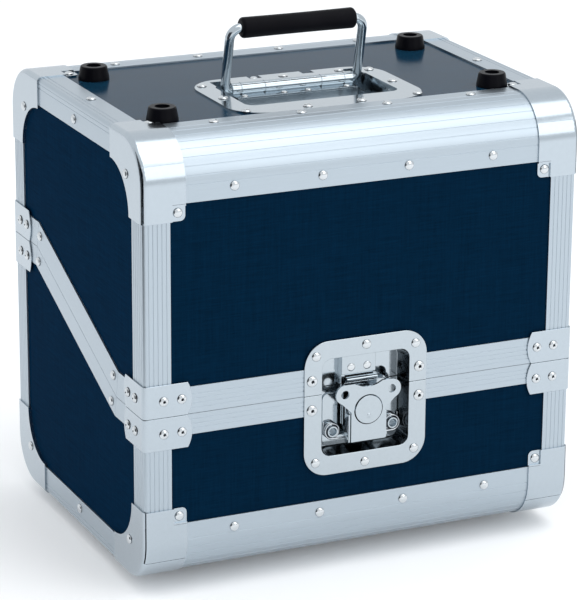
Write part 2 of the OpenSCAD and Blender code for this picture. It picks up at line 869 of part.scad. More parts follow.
module base_feet() black_rubber() on_feet() translate([0, 0, skin_t]) mirror([0, 0, 1])
    feet_set(foot_h + skin_t);

module base_foot_screws() chrome() on_feet() translate([0, 0, skin_t]) mirror([0, 0, 1])
    both_sides() at_feet() foot_screw(foot_h + skin_t);

module lid_feet() black_rubber() on_feet() translate([0, 0, panel_top]) feet_set(foot_h);
module lid_foot_screws() chrome() on_feet() translate([0, 0, panel_top])
    both_sides() at_feet() foot_screw(foot_h);

// ---------- lining ----------
module base_lining() foam_grey() on_feet() {
    edge = front_y + corner_r + rail_lip + 0.5;
    translate([-in_w / 2 + 0.5, edge, wall_in]) cube([in_w - 1, -2 * edge, foam_t]);
}

module lid_lining() foam_grey() on_feet() difference() {
    edge = front_y + corner_r + rail_lip + 0.5;
    translate([-in_w / 2 + 0.5, edge, case_h - wall_in - foam_t]) cube([in_w - 1, -2 * edge, foam_t]);
    translate([0, 0, case_h - wall_in - foam_t - 1]) linear_extrude(foam_t + 2) recess_cut();
}

// ---------- hinges ----------
// A leaf with every second knuckle, standing up from the axis.
module leaf(first, height) {
    step = hinge_len / knuckles;
    clear = knuckle_r + knuckle_gap;
    difference() {
        union() {
            translate([-hinge_len / 2, case_d / 2, clear]) cube([hinge_len, skin_t, height - clear]);
            for (i = [first : 2 : knuckles - 1])
                translate([-hinge_len / 2 + i * step + knuckle_side, 0, 0]) {
                    translate([0, case_d / 2, 0]) cube([step - 2 * knuckle_side, skin_t, clear + 0.1]);
                    translate([0, knuckle_y, 0]) rotate([0, 90, 0])
                        cylinder(h = step - 2 * knuckle_side, r = knuckle_r);
                }
        }
        translate([-hinge_len, knuckle_y, 0]) rotate([0, 90, 0])
            cylinder(h = 2 * hinge_len, r = pin_r + run_fit);
    }
}

module hinge_base_leaves() chrome() on_feet() both_sides()
    translate([hinge_x, 0, split_back]) mirror([0, 0, 1]) leaf(0, base_strip_h - 1);

module hinge_lid_leaves() chrome() on_feet() both_sides()
    translate([hinge_x, 0, split_back]) leaf(1, lid_strip_h - 2);

module hinge_pins() chrome() on_feet() both_sides()
    translate([hinge_x, knuckle_y, split_back]) rotate([0, 90, 0]) {
        cylinder(h = hinge_len + 1, r = pin_r, center = true);
        for (end = [0, 1]) mirror([0, 0, end])
            translate([0, 0, hinge_len / 2 + 0.1]) cylinder(h = 1, r = pin_r + 0.8);
    }

// ---------- latch ----------
// Local frame of the latch: depth along Y from the case's face, Z from the split.
module at_latch() on_feet() translate([latch_x, front_y, split_front]) children();
module at_mech() at_latch() translate([mech_x, 0, 0]) children();

module latch_opening(grow, shrink) {
    w = open_w + 2 * grow - 2 * shrink;
    h = open_up + open_down + 2 * grow - 2 * shrink;
    translate([0, (open_up - open_down) / 2]) round_rect(w, h, open_r);
}

// The hole in the panels and rims that takes the dish.
module latch_cut() translate([latch_x, front_y, split_front])
    sheet(-5, wall_full + 5) latch_opening(dish_cut, 0);

module latch_cavity() hull() {
    sheet(-plate_t - 0.1, -plate_t) latch_opening(0, 0, $fn = 32);
    sheet(latch_depth - 0.1, latch_depth) latch_opening(0, latch_taper, $fn = 32);
}

module latch_shell() hull() {
    sheet(-0.1, 0) latch_opening(plate_t, 0, $fn = 32);
    sheet(latch_depth + plate_t - 0.1, latch_depth + plate_t)
        latch_opening(plate_t, latch_taper, $fn = 32);
}

module latch_flange() translate([0, (latch_up - latch_down) / 2])
    round_rect(latch_w, latch_up + latch_down, latch_r);

// The pressed dish, before it is split between the base and the lid.
module latch_dish() difference() {
    union() {
        sheet(-plate_t, 0) latch_flange();
        sheet(0, skin_t) difference() {
            latch_flange();
            box2(-latch_w, -base_strip_h - panel_fit, latch_w, lid_strip_h + panel_fit);
        }
        latch_shell();
    }
    latch_cavity();
}

module latch_base_dish() chrome() at_latch() difference() {
    intersection() {
        latch_dish();
        translate([-latch_w, -5, -latch_down - 1]) cube([2 * latch_w, 40, latch_down + 1 - gap2]);
    }
    translate([mech_x, 0, axis_z]) rotate([-90, 0, 0]) cylinder(h = 40, r = axle_r + 0.6);
}

module latch_lid_dish() chrome() at_latch() intersection() {
    latch_dish();
    translate([-latch_w, -5, gap2]) cube([2 * latch_w, 40, latch_up + 1]);
}

// The back plate of the mechanism, with an eyelet for each spring and its stop.
module latch_base_plate() chrome() at_mech() {
    half = open_w / 2 - latch_taper - mech_x - 0.6;
    low = -open_down + latch_taper + 0.6;
    sheet(base_plate_d, latch_depth) difference() {
        translate([0, (low + plate_high) / 2]) round_rect(2 * half, plate_high - low, 5);
        translate([0, axis_z]) circle(axle_r + run_fit);
    }
    both_sides() {
        translate([spring_x, 0, spring_z]) sheet(web_back + 0.6, base_plate_d)
            difference() {
                circle(post_out);
                circle(post_in);
            }
        translate([stop_x - 1.5, 0, spring_z - coil_r])
            sheet(web_back + 0.6, base_plate_d) square([3, 4], center = true);
    }
}

// A torsion spring: a straight leg on the plate, the coil and an arm to its stop.
function coil_point(t) = [coil_r * cos(360 * t), coil_start - coil_pitch * t, -coil_r * sin(360 * t)];
spring_path = concat(
    [[coil_r, coil_start, leg_len]],
    [for (i = [0 : coil_turns * coil_steps]) coil_point(i / coil_steps)],
    [[stop_x + 0.1 - spring_x, coil_start - coil_pitch * coil_turns, -coil_r]]
);
spring_last = len(spring_path) - 1;

// Least gap between one turn of the wire and the next.
spring_gap = min([
    for (i = [0 : spring_last - coil_steps / 2], k = [i + coil_steps / 2 : spring_last])
        norm(spring_path[i] - spring_path[k])
]) - 2 * wire_r;
echo(spring_gap = spring_gap);

module latch_springs() chrome() at_mech() both_sides()
    translate([spring_x, 0, spring_z]) wire_tube(spring_path);

module wire_tube(path) {
    sides = 6;
    n = len(path);
    function unit(v) = v / norm(v);
    function heading(i) = unit(path[min(i + 1, n - 1)] - path[max(i - 1, 0)]);
    function ring(i) = let (t = heading(i), a = unit(cross(t, [0, 1, 0])), b = cross(t, a))
        [for (k = [0 : sides - 1]) path[i] + wire_r * (a * cos(60 * k) + b * sin(60 * k))];
    function side_faces(i, k) = [
        i * sides + k, (i + 1) * sides + k,
        (i + 1) * sides + (k + 1) % sides, i * sides + (k + 1) % sides
    ];
    polyhedron(
        points = [for (i = [0 : n - 1]) each ring(i)],
        faces = concat(
            [[for (k = [0 : sides - 1]) k]],
            [for (i = [0 : n - 2], k = [0 : sides - 1]) side_faces(i, k)],
            [[for (k = [sides - 1 : -1 : 0]) (n - 1) * sides + k]]
        )
    );
}

// The strike on the lid: the hook's lip comes through its window, over its lower bar,
// and a keeper plate is riveted over the window's upper edge.
module latch_strike() chrome() at_mech() {
    window_r = 5;
    sheet(strike_front, strike_front + mech_t) difference() {
        box2(strike_left, bar_low, strike_right, strike_top);
        box2(window_left, bar_high, window_right - window_r, window_top);
        box2(window_left, bar_high, window_right, window_top - window_r);
        translate([window_right - window_r, window_top - window_r]) circle(window_r);
    }
    sheet(keeper_front, strike_front) box2(strike_left, keeper_low, keeper_right, strike_top);
    for (x = [strike_left, strike_right - mech_t])
        sheet(strike_front, latch_depth) box2(x, gap2 + 1, x + mech_t, strike_top);
}

// The rotor: a U bracket with a hub in front, an eccentric and the axle behind.
module latch_rotor() chrome() at_mech() {
    ear_in = stem_w / 2 + 0.3;
    ear_out = ear_in + mech_t;
    ear_low = fold_z - 4;
    sheet(web_front, web_back) {
        translate([0, axis_z]) circle(ear_out);
        box2(-ear_out, ear_low, ear_out, axis_z);
    }
    difference() {
        for (side = [-1, 1])
            along_x(side * (ear_in + ear_out) / 2 - mech_t / 2, side * (ear_in + ear_out) / 2 + mech_t / 2)
                difference() {
                    box2(0.2, ear_low, web_back, axis_z - 3);
                    translate([0.2, ear_low]) difference() {
                        square(2);
                        translate([2, 2]) circle(2);
                    }
                }
        fold_bore(fold_pin_r + 0.02);
    }
    translate([0, 0, axis_z]) {
        sheet(hub_front, web_front) circle(hub_r);
        translate([0, hub_front, -5]) rotate([90, 0, 0]) dome(4, 0.6);
        sheet(web_back, hook_back + 0.2) translate([0, -cam_throw]) circle(cam_r);
        sheet(hook_back + 0.2, latch_depth + plate_t + 0.3) circle(axle_r);
        sheet(latch_depth + plate_t + 0.3, latch_depth + plate_t + 1.8) circle(axle_r + 2);
    }
}

// The bore of the fold pin through the ears of the rotor and of the butterfly.
module fold_bore(r) translate([0, fold_d, fold_z]) rotate([0, 90, 0])
    cylinder(h = 2 * stem_w, r = r, center = true);

module latch_fold_pin() chrome() at_mech() translate([0, fold_d, fold_z]) rotate([0, 90, 0]) {
    reach = stem_w / 2 + 0.3 + mech_t;
    cylinder(h = 2 * reach, r = fold_pin_r, center = true);
    for (end = [0, 1]) mirror([0, 0, end])
        translate([0, 0, reach + 0.05]) cylinder(h = 0.8, r = fold_pin_r + 0.7);
}

// Outline of the butterfly, with its origin on the turning axis.
module butterfly_shape() {
    top_r = 22;
    difference() {
        union() {
            for (side = [-1, 1]) translate([side * ear_span / 2, ear_rise]) circle(ear_r);
            polygon([
                [-ear_span / 2, ear_rise + ear_r], [ear_span / 2, ear_rise + ear_r],
                [ear_span / 2 + 3, ear_rise - ear_r + 0.6], [stem_w / 2, -1],
                [stem_w / 2, -stem_drop], [-stem_w / 2, -stem_drop],
                [-stem_w / 2, -1], [-ear_span / 2 - 3, ear_rise - ear_r + 0.6]
            ]);
        }
        circle(hub_r + hub_gap);
        translate([0, ear_rise + ear_r - 3.5 + top_r]) circle(top_r);
        for (side = [-1, 1]) translate([side * ear_span / 2, ear_rise]) circle(ear_hole_r);
    }
}

module latch_butterfly() chrome() at_mech() {
    translate([0, 0, axis_z]) sheet(-wing_t / 2, wing_t / 2) butterfly_shape();
    difference() {
        for (side = [-1, 1])
            along_x(side * (stem_w / 2 - 0.9) - 0.9, side * (stem_w / 2 - 0.9) + 0.9) union() {
                translate([fold_d, fold_z]) circle(2.5);
                box2(wing_t / 2 - 0.2, fold_z - 2.5, fold_d, fold_z + 2.5);
            }
        fold_bore(fold_pin_r + run_fit);
    }
}

// The hook: a plate that rides on the eccentric, with a rounded lip over the strike's bar.
module latch_hook() chrome() at_mech() {
    slot_z = axis_z - cam_throw;
    plate_half = 2 * cam_r + 0.5;
    lip_half = plate_half - 2.5;
    sheet(hook_front, hook_back) difference() {
        union() {
            box2(-plate_half, axis_z - 2 * cam_r, plate_half, bar_low - 3.5);
            box2(-lip_half, bar_low - 4, lip_half, lip_z);
        }
        translate([0, slot_z])
            square([2 * cam_r + 2 * cam_throw + 2, 2 * (cam_r + cam_play)], center = true);
    }
    translate([0, strike_front + lip_r + 0.1, lip_z]) rotate([0, 90, 0])
        cylinder(h = 2 * lip_half, r = lip_r, center = true);
    sheet(strike_front + lip_r, hook_back) box2(-lip_half, lip_z - lip_r, lip_half, lip_z + lip_r);
}

module latch_rivet(x, z, d) translate([x, -plate_t, z]) rotate([90, 0, 0]) dome(d, rivet_h);

// One half of the flange's rivets; way is 1 over the split and -1 under it, reach is its height.
module flange_rivets(way, reach) {
    for (side = [-1, 1]) {
        latch_rivet(side * (latch_w / 2 - latch_rim / 2 + 1), way * latch_rim * 0.8, edge_rivet_d);
        latch_rivet(side * (latch_w / 2 - latch_rim * 0.66), way * (reach - latch_rim * 0.76), rivet_d);
    }
    latch_rivet(0, way * (reach - latch_rim * 0.44), rivet_d);
}

module latch_base_rivets() chrome() at_latch() flange_rivets(-1, latch_down);

module latch_lid_rivets() chrome() at_latch() {
    flange_rivets(1, latch_up);
    for (x = keeper_rivets)
        translate([mech_x + x, keeper_front, keeper_rivet_z]) rotate([90, 0, 0])
            dome(rivet_d * 0.85, keeper_head_h);
}

// ---------- handle ----------
// The recess narrows to its floor at the front and the sides, and its back is straight.
module recess_shape(grow, taper) {
    translate([0, (recess_front + taper + recess_back) / 2])
        round_rect(2 * (recess_half + grow - taper), recess_back - recess_front - taper + 2 * grow, 8);
}

// Wells beside the barrel, where the legs of the bail pass.
module well_shape(grow) {
    for (side = [-1, 1])
        translate([side * bail_span / 2, (well_back + pivot_y - 6) / 2])
            square([2 * rod_r + 3 + 2 * grow, well_back - pivot_y + 6 + 2 * grow], center = true);
}

// The hole in the top panel and the lining.
module recess_cut() {
    recess_shape(dish_cut, 0);
    well_shape(dish_cut);
}

module recess_solid(grow, top, floor_z) {
    hull() {
        translate([0, 0, top - 0.1]) linear_extrude(0.1) recess_shape(grow, 0, $fn = 32);
        translate([0, 0, floor_z]) linear_extrude(0.1) recess_shape(grow, 3, $fn = 32);
    }
    translate([0, 0, floor_z + 1]) linear_extrude(top - floor_z - 1) well_shape(grow);
}

// The raised step of the dish's floor that carries the leaf of the barrel.
module barrel_step(inset, z0, z1) translate([0, 0, z0]) linear_extrude(z1 - z0)
    box2(inset - barrel_half, pivot_y - leaf_reach + inset, barrel_half - inset, recess_back - inset);

module handle_dish() chrome() on_feet() {
    floor_z = panel_top - recess_depth;
    difference() {
        union() {
            translate([0, dish_mid, panel_top]) linear_extrude(plate_t) round_rect(dish_w, dish_d, dish_r);
            recess_solid(plate_t, panel_top + plate_t / 2, floor_z - plate_t);
        }
        difference() {
            recess_solid(0, panel_top + plate_t + 1, floor_z);
            barrel_step(0, floor_z - 1, step_z);
        }
        barrel_step(plate_t, floor_z - 2 * plate_t, step_z - plate_t);
        for (side = [-1, 1])
            translate([side * notch_x - notch_w / 2, dish_back - notch_d, panel_top - 1])
                cube([notch_w, notch_d + 1, plate_t + 2]);
    }
}

// The barrel is rolled from a leaf that is riveted to the step of the dish.
module handle_barrel() chrome() on_feet() difference() {
    union() {
        translate([0, pivot_y, pivot_z]) rotate([0, 90, 0])
            cylinder(h = 2 * barrel_half, r = barrel_r, center = true);
        translate([-barrel_half, pivot_y - leaf_reach, step_z])
            cube([2 * barrel_half, leaf_reach, barrel_t]);
    }
    translate([0, pivot_y, pivot_z]) rotate([0, 90, 0])
        cylinder(h = 2 * barrel_half + 2, r = rod_r + run_fit, center = true);
    for (x = [-0.86, -0.47, 0.47, 0.86])
        translate([x * barrel_half, pivot_y, pivot_z]) rotate([0, 90, 0]) rotate_extrude(angle = 360)
            box2(barrel_r - 0.5, -0.4, barrel_r + 1, 0.4);
}

// Half of the bail, from the middle of the grip to the end inside the barrel.
module bail_half() {
    half = bail_span / 2;
    foot_bend = rod_r + 1.5;
    translate([0, 0, bail_h]) rotate([0, 90, 0]) cylinder(h = half - bail_bend, r = rod_r);
    translate([half - bail_bend, 0, bail_h - bail_bend]) rotate([90, 0, 0])
        rotate_extrude(angle = 90) translate([bail_bend, 0]) circle(rod_r);
    translate([half, 0, foot_bend]) cylinder(h = bail_h - bail_bend - foot_bend, r = rod_r);
    translate([half - foot_bend, 0, foot_bend]) rotate([90, 0, 0])
        rotate_extrude(angle = -90) translate([foot_bend, 0]) circle(rod_r);
    translate([half - foot_bend - 24, 0, 0]) rotate([0, 90, 0]) cylinder(h = 24, r = rod_r);
}

// The handle in its photographed place, leaning forward about the pivot.
module raised() on_feet() translate([0, pivot_y, pivot_z]) rotate([bail_lean, 0, 0]) children();

module handle_bail() chrome() raised() {
    bail_half();
    mirror([1, 0, 0]) bail_half();
}

module handle_grip() black_rubber() raised() translate([0, 0, bail_h]) rotate([0, 90, 0])
    rotate_extrude() difference() {
        box2(rod_r, -grip_len / 2, grip_r, grip_len / 2);
        for (end = [0, 1]) mirror([0, end]) translate([grip_r - 3, grip_len / 2 - 3]) difference() {
            square(4);
            circle(3);
        }
    }

module handle_rivets() chrome() on_feet() translate([0, 0, panel_top + plate_t]) {
    for (side = [-1, 1]) {
        for (y = [dish_back - 15.5, dish_mid - 1.5, dish_front + 10.5])
            translate([side * (dish_w / 2 - 9), y, 0]) rivet();
        translate([side * notch_x, dish_front + 7, 0]) rivet();
        translate([side * dish_w * 0.3, dish_back - 9, 0]) rivet();
    }
    translate([0, dish_back - 9, 0]) rivet();
    translate([-notch_x, dish_back - 3.5, -plate_t]) dome(6, 1.6);
    for (x = [-0.85, -0.2, 0.2, 0.85])
        translate([x * barrel_half, pivot_y - leaf_reach + 4.5, step_z + barrel_t - panel_top - plate_t])
            dome(5.4, 1.4);
}

// ---------- drawing ----------
base_bottom_panel();
base_front_panel();
base_back_panel();
base_left_panel();
base_right_panel();
base_front_rail();
base_back_rail();
base_left_angle();
base_right_angle();
base_corner_posts();
base_front_rim();
base_back_rim();
base_left_rim();
base_right_rim();
base_corner_caps();
base_brackets();
base_rivets();
base_feet();
base_foot_screws();
base_lining();
lid_top_panel();
lid_front_panel();
lid_back_panel();
lid_left_panel();
lid_right_panel();
lid_front_rail();
lid_back_rail();
lid_left_angle();
lid_right_angle();
lid_corner_posts();
lid_front_rim();
lid_back_rim();
lid_left_rim();
lid_right_rim();
lid_corner_caps();
lid_brackets();
lid_rivets();
lid_feet();
lid_foot_screws();
lid_lining();
hinge_base_leaves();
hinge_lid_leaves();
hinge_pins();
latch_base_dish();
latch_lid_dish();
latch_base_plate();
latch_springs();
latch_strike();
latch_rotor();
latch_fold_pin();
latch_butterfly();
latch_hook();
latch_base_rivets();
latch_lid_rivets();
handle_dish();
handle_barrel();
handle_bail();
handle_grip();
handle_rivets();
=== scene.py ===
"""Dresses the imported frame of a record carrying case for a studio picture.

The case is plywood held in aluminium extrusions, with a slanted split, pressed
steel corners, a recessed butterfly latch and a recessed folding handle.
"""

from __future__ import annotations

import logging
import math
from dataclasses import dataclass, field
from enum import Enum
from typing import Callable, Sequence

import bmesh
import bpy
from mathutils import Matrix, Vector

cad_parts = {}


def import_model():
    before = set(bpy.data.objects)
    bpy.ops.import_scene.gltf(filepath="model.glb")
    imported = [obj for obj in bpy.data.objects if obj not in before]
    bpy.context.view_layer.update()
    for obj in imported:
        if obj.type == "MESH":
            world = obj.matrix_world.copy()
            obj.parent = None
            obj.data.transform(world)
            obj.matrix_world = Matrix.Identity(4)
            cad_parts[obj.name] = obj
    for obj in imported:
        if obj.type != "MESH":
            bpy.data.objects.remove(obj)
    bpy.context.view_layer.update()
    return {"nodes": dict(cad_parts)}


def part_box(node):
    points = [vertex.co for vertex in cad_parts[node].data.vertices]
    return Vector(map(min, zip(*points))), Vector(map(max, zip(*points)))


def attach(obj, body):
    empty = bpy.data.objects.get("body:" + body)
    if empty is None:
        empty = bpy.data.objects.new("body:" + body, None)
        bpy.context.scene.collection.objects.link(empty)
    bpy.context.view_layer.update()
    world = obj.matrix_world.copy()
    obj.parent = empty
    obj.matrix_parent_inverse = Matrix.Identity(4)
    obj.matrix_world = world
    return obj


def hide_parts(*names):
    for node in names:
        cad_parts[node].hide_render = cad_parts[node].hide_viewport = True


LOG = logging.getLogger("record_case")
MM = 0.001
LINE_DEPTH = 0.1 * MM
PIT_DEPTH = 0.4 * MM


class Body(Enum):
    """The rigid bodies of the case."""

    BASE = "base"
    LID = "lid"
    HANDLE = "handle"
    ROTOR = "latch_rotor"
    BUTTERFLY = "latch_butterfly"
    HOOK = "latch_hook"


class Slot(Enum):
    """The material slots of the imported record."""

    PANEL = "panel"
    ALUMINIUM = "aluminium"
    PRESSED_STEEL = "pressed_steel"
    BRIGHT_STEEL = "bright_steel"
    RUBBER = "rubber"
    LINING = "lining"


class Along(Enum):
    """Directions of fine lines; each value shrinks the pattern across the lines."""

    X = (0.03, 1.0, 1.0)
    Y = (1.0, 0.03, 1.0)
    Z = (1.0, 1.0, 0.03)
    NONE = (1.0, 1.0, 1.0)


# ---------------------------------------------------------------- node graphs


@dataclass
class Graph:
    """A thin helper that adds and joins nodes of one tree."""

    tree: bpy.types.NodeTree

    def node(self, kind: str, settings: dict | None = None, **inputs: object) -> bpy.types.Node:
        """Adds a node.

        Args:
            kind: Blender's identifier of the node.
            settings: attributes of the node, such as its operation.
            **inputs: values or sockets for its inputs, with _ for a space.

        Returns:
            The new node.
        """
        made = self.tree.nodes.new(kind)
        for key, value in (settings or {}).items():
            setattr(made, key, value)
        for key, value in inputs.items():
            self.feed(made.inputs[key.replace("_", " ")], value)
        return made

    def feed(self, socket: bpy.types.NodeSocket, value: object) -> None:
        """Links a socket to another one, or sets its value."""
        if isinstance(value, bpy.types.NodeSocket):
            self.tree.links.new(value, socket)
        else:
            socket.default_value = value

    def math(self, operation: str, first: object, second: object = 0.0) -> bpy.types.NodeSocket:
        """Adds a Math node and returns its result."""
        made = self.tree.nodes.new("ShaderNodeMath")
        made.operation = operation
        self.feed(made.inputs[0], first)
        self.feed(made.inputs[1], second)
        return made.outputs[0]

    def spread(self, value: object, low: float, high: float) -> bpy.types.NodeSocket:
        """Maps a value from 0..1 to low..high."""
        made = self.node("ShaderNodeMapRange", Value=value, To_Min=low, To_Max=high)
        return made.outputs["Result"]

    def blend(self, factor: object, first: object, second: object) -> bpy.types.NodeSocket:
        """Mixes two colours and returns the result."""
        made = self.tree.nodes.new("ShaderNodeMix")
        made.data_type = "RGBA"
        self.feed(made.inputs[0], factor)
        self.feed(made.inputs[6], first)
        self.feed(made.inputs[7], second)
        return made.outputs[2]


def shader_group(name: str, sockets: Sequence[tuple[str, str, str, object]],
                 build: Callable[[Graph, bpy.types.Node, bpy.types.Node], None]) -> bpy.types.NodeTree:
    """Makes a shader node group once and returns it.

    Args:
        name: the group's name.
        sockets: name, INPUT or OUTPUT, socket kind and default of each socket.
        build: fills the group, given its graph, its input node and its output node.

    Returns:
        The group.
    """
    found = bpy.data.node_groups.get(name)
    if found:
        return found
    tree = bpy.data.node_groups.new(name, "ShaderNodeTree")
    for label, side, kind, default in sockets:
        socket = tree.interface.new_socket(name=label, in_out=side, socket_type=kind)
        if default is not None:
            socket.default_value = default
    graph = Graph(tree)
    build(graph, graph.node("NodeGroupInput"), graph.node("NodeGroupOutput"))
    return tree


def fine_lines() -> bpy.types.NodeTree:
    """Fine lines along one direction, as drawing or brushing leaves them."""

    def build(graph: Graph, given: bpy.types.Node, result: bpy.types.Node) -> None:
        """Stretches two noises along the lines."""
        turned = graph.node("ShaderNodeVectorMath", {"operation": "MULTIPLY"})
        graph.feed(turned.inputs[0], given.outputs["Vector"])
        graph.feed(turned.inputs[1], given.outputs["Stretch"])
        coarse = graph.node("ShaderNodeTexNoise", Vector=turned.outputs[0], Scale=given.outputs["Scale"],
                            Detail=3.0, Roughness=0.65)
        finer = graph.math("MULTIPLY", given.outputs["Scale"], 4.3)
        fine = graph.node("ShaderNodeTexNoise", Vector=turned.outputs[0], Scale=finer, Detail=2.0)
        both = graph.math("ADD", graph.math("MULTIPLY", coarse.outputs["Fac"], 0.6),
                          graph.math("MULTIPLY", fine.outputs["Fac"], 0.4))
        bump = graph.node("ShaderNodeBump", Strength=given.outputs["Strength"], Distance=LINE_DEPTH,
                          Height=both)
        graph.feed(result.inputs["Lines"], both)
        graph.feed(result.inputs["Normal"], bump.outputs["Normal"])

    return shader_group("fine_lines", [
        ("Vector", "INPUT", "NodeSocketVector", None),
        ("Stretch", "INPUT", "NodeSocketVector", (1.0, 1.0, 1.0)),
        ("Scale", "INPUT", "NodeSocketFloat", 900.0),
        ("Strength", "INPUT", "NodeSocketFloat", 0.2),
        ("Lines", "OUTPUT", "NodeSocketFloat", None),
        ("Normal", "OUTPUT", "NodeSocketVector", None),
    ], build)


def handling_marks() -> bpy.types.NodeTree:
    """Broad smudges with small scuffs in them, from hands and transport."""

    def build(graph: Graph, given: bpy.types.Node, result: bpy.types.Node) -> None:
        """Multiplies a broad cloud by a fine one."""
        broad = graph.node("ShaderNodeTexNoise", Vector=given.outputs["Vector"],
                           Scale=given.outputs["Scale"], Detail=4.0, Roughness=0.6, Distortion=0.4)
        finer = graph.math("MULTIPLY", given.outputs["Scale"], 14.0)
        fine = graph.node("ShaderNodeTexNoise", Vector=given.outputs["Vector"], Scale=finer, Detail=3.0)
        cloud = graph.spread(broad.outputs["Fac"], -0.35, 1.35)
        mask = graph.math("MULTIPLY", cloud, graph.spread(fine.outputs["Fac"], 0.5, 1.2))
        clamp = graph.node("ShaderNodeClamp", Value=mask)
        graph.feed(result.inputs["Marks"], clamp.outputs[0])

    return shader_group("handling_marks", [
        ("Vector", "INPUT", "NodeSocketVector", None),
        ("Scale", "INPUT", "NodeSocketFloat", 9.0),
        ("Marks", "OUTPUT", "NodeSocketFloat", None),
    ], build)


def pores() -> bpy.types.NodeTree:
    """Small pits of foam and the fine orange peel of rubber."""

    def build(graph: Graph, given: bpy.types.Node, result: bpy.types.Node) -> None:
        """Joins a cell pattern and a noise."""
        cells = graph.node("ShaderNodeTexVoronoi", Vector=given.outputs["Vector"],
                           Scale=given.outputs["Scale"])
        half = graph.math("MULTIPLY", given.outputs["Scale"], 0.55)
        cloud = graph.node("ShaderNodeTexNoise", Vector=given.outputs["Vector"], Scale=half, Detail=3.0)
        height = graph.math("ADD", cells.outputs["Distance"], cloud.outputs["Fac"])
        bump = graph.node("ShaderNodeBump", Strength=given.outputs["Strength"], Distance=PIT_DEPTH,
                          Height=height)
        graph.feed(result.inputs["Pits"], cells.outputs["Distance"])
        graph.feed(result.inputs["Normal"], bump.outputs["Normal"])

    return shader_group("pores", [
        ("Vector", "INPUT", "NodeSocketVector", None),
        ("Scale", "INPUT", "NodeSocketFloat", 900.0),
        ("Strength", "INPUT", "NodeSocketFloat", 0.3),
        ("Pits", "OUTPUT", "NodeSocketFloat", None),
        ("Normal", "OUTPUT", "NodeSocketVector", None),
    ], build)


# ------------------------------------------------------------------- finishes


def new_material(name: str) -> tuple[bpy.types.Material, Graph, bpy.types.Node, bpy.types.NodeSocket]:
    """Makes an empty material.

    Args:
        name: the material's name.

    Returns:
        The material, its graph, its shader and the Object coordinates.
    """
    made = bpy.data.materials.new(name)
    made.use_nodes = True
    made.node_tree.nodes.clear()
    graph = Graph(made.node_tree)
    shader = graph.node("ShaderNodeBsdfPrincipled")
    output = graph.node("ShaderNodeOutputMaterial")
    graph.feed(output.inputs["Surface"], shader.outputs["BSDF"])
    place = graph.node("ShaderNodeTexCoord")
    return made, graph, shader, place.outputs["Object"]


def group_node(graph: Graph, tree: bpy.types.NodeTree, **inputs: object) -> bpy.types.Node:
    """Places a shader group in a material and feeds it."""
    made = graph.tree.nodes.new("ShaderNodeGroup")
    made.node_tree = tree
    for key, value in inputs.items():
        graph.feed(made.inputs[key], value)
    return made


@dataclass(frozen=True)
class Metal:
    """A bare or plated metal with fine lines and handling marks."""

    name: str
    colour: tuple[float, float, float]
    roughness: float
    along: Along = Along.NONE
    lines: float = 0.15
    scale: float = 900.0
    marks: float = 0.06

    def material(self) -> bpy.types.Material:
        """Builds the metal once and returns it."""
        found = bpy.data.materials.get(self.name)
        if found:
            return found
        made, graph, shader, place = new_material(self.name)
        grain = group_node(graph, fine_lines(), Vector=place, Stretch=self.along.value,
                           Scale=self.scale, Strength=self.lines)
        smudge = group_node(graph, handling_marks(), Vector=place, Scale=9.0)
        dull = tuple(0.86 * value for value in self.colour)
        tone = graph.blend(grain.outputs["Lines"], (*dull, 1.0), (*self.colour, 1.0))
        lines = graph.spread(grain.outputs["Lines"], self.roughness * 0.8, self.roughness * 1.2)
        rough = graph.math("ADD", lines, graph.math("MULTIPLY", smudge.outputs["Marks"], self.marks))
        graph.feed(shader.inputs["Base Color"], tone)
        graph.feed(shader.inputs["Roughness"], rough)
        graph.feed(shader.inputs["Normal"], grain.outputs["Normal"])
        shader.inputs["Metallic"].default_value = 1.0
        return made


@dataclass(frozen=True)
class Laminate:
    """Dark blue laminate with a fine woven grain under a thin gloss."""

    name: str
    colour: tuple[float, float, float]
    along: Along
    gloss: float
    warp: float = 900.0
    weft: float = 700.0

    def material(self) -> bpy.types.Material:
        """Builds the laminate once and returns it."""
        found = bpy.data.materials.get(self.name)
        if found:
            return found
        made, graph, shader, place = new_material(self.name)
        warp, weft = (group_node(graph, fine_lines(), Vector=place, Stretch=stretch.value, Scale=scale)
                      for stretch, scale in ((self.along, self.warp), (Along.Z, self.weft)))
        smudge = group_node(graph, handling_marks(), Vector=place, Scale=5.0)
        weave = graph.math("ADD", graph.math("MULTIPLY", warp.outputs["Lines"], 0.6),
                           graph.math("MULTIPLY", weft.outputs["Lines"], 0.4))
        dark = tuple(0.4 * value for value in self.colour)
        light = tuple(1.6 * value for value in self.colour)
        tone = graph.blend(graph.spread(weave, -0.6, 1.6), (*dark, 1.0), (*light, 1.0))
        bump = graph.node("ShaderNodeBump", Strength=0.25, Distance=0.00006, Height=weave)
        graph.feed(shader.inputs["Base Color"], tone)
        graph.feed(shader.inputs["Roughness"], graph.spread(smudge.outputs["Marks"], 0.13, 0.21))
        graph.feed(shader.inputs["Normal"], bump.outputs["Normal"])
        shader.inputs["IOR"].default_value = self.gloss
        shader.inputs["Specular Tint"].default_value = (0.72, 0.9, 1.0, 1.0)
        return made


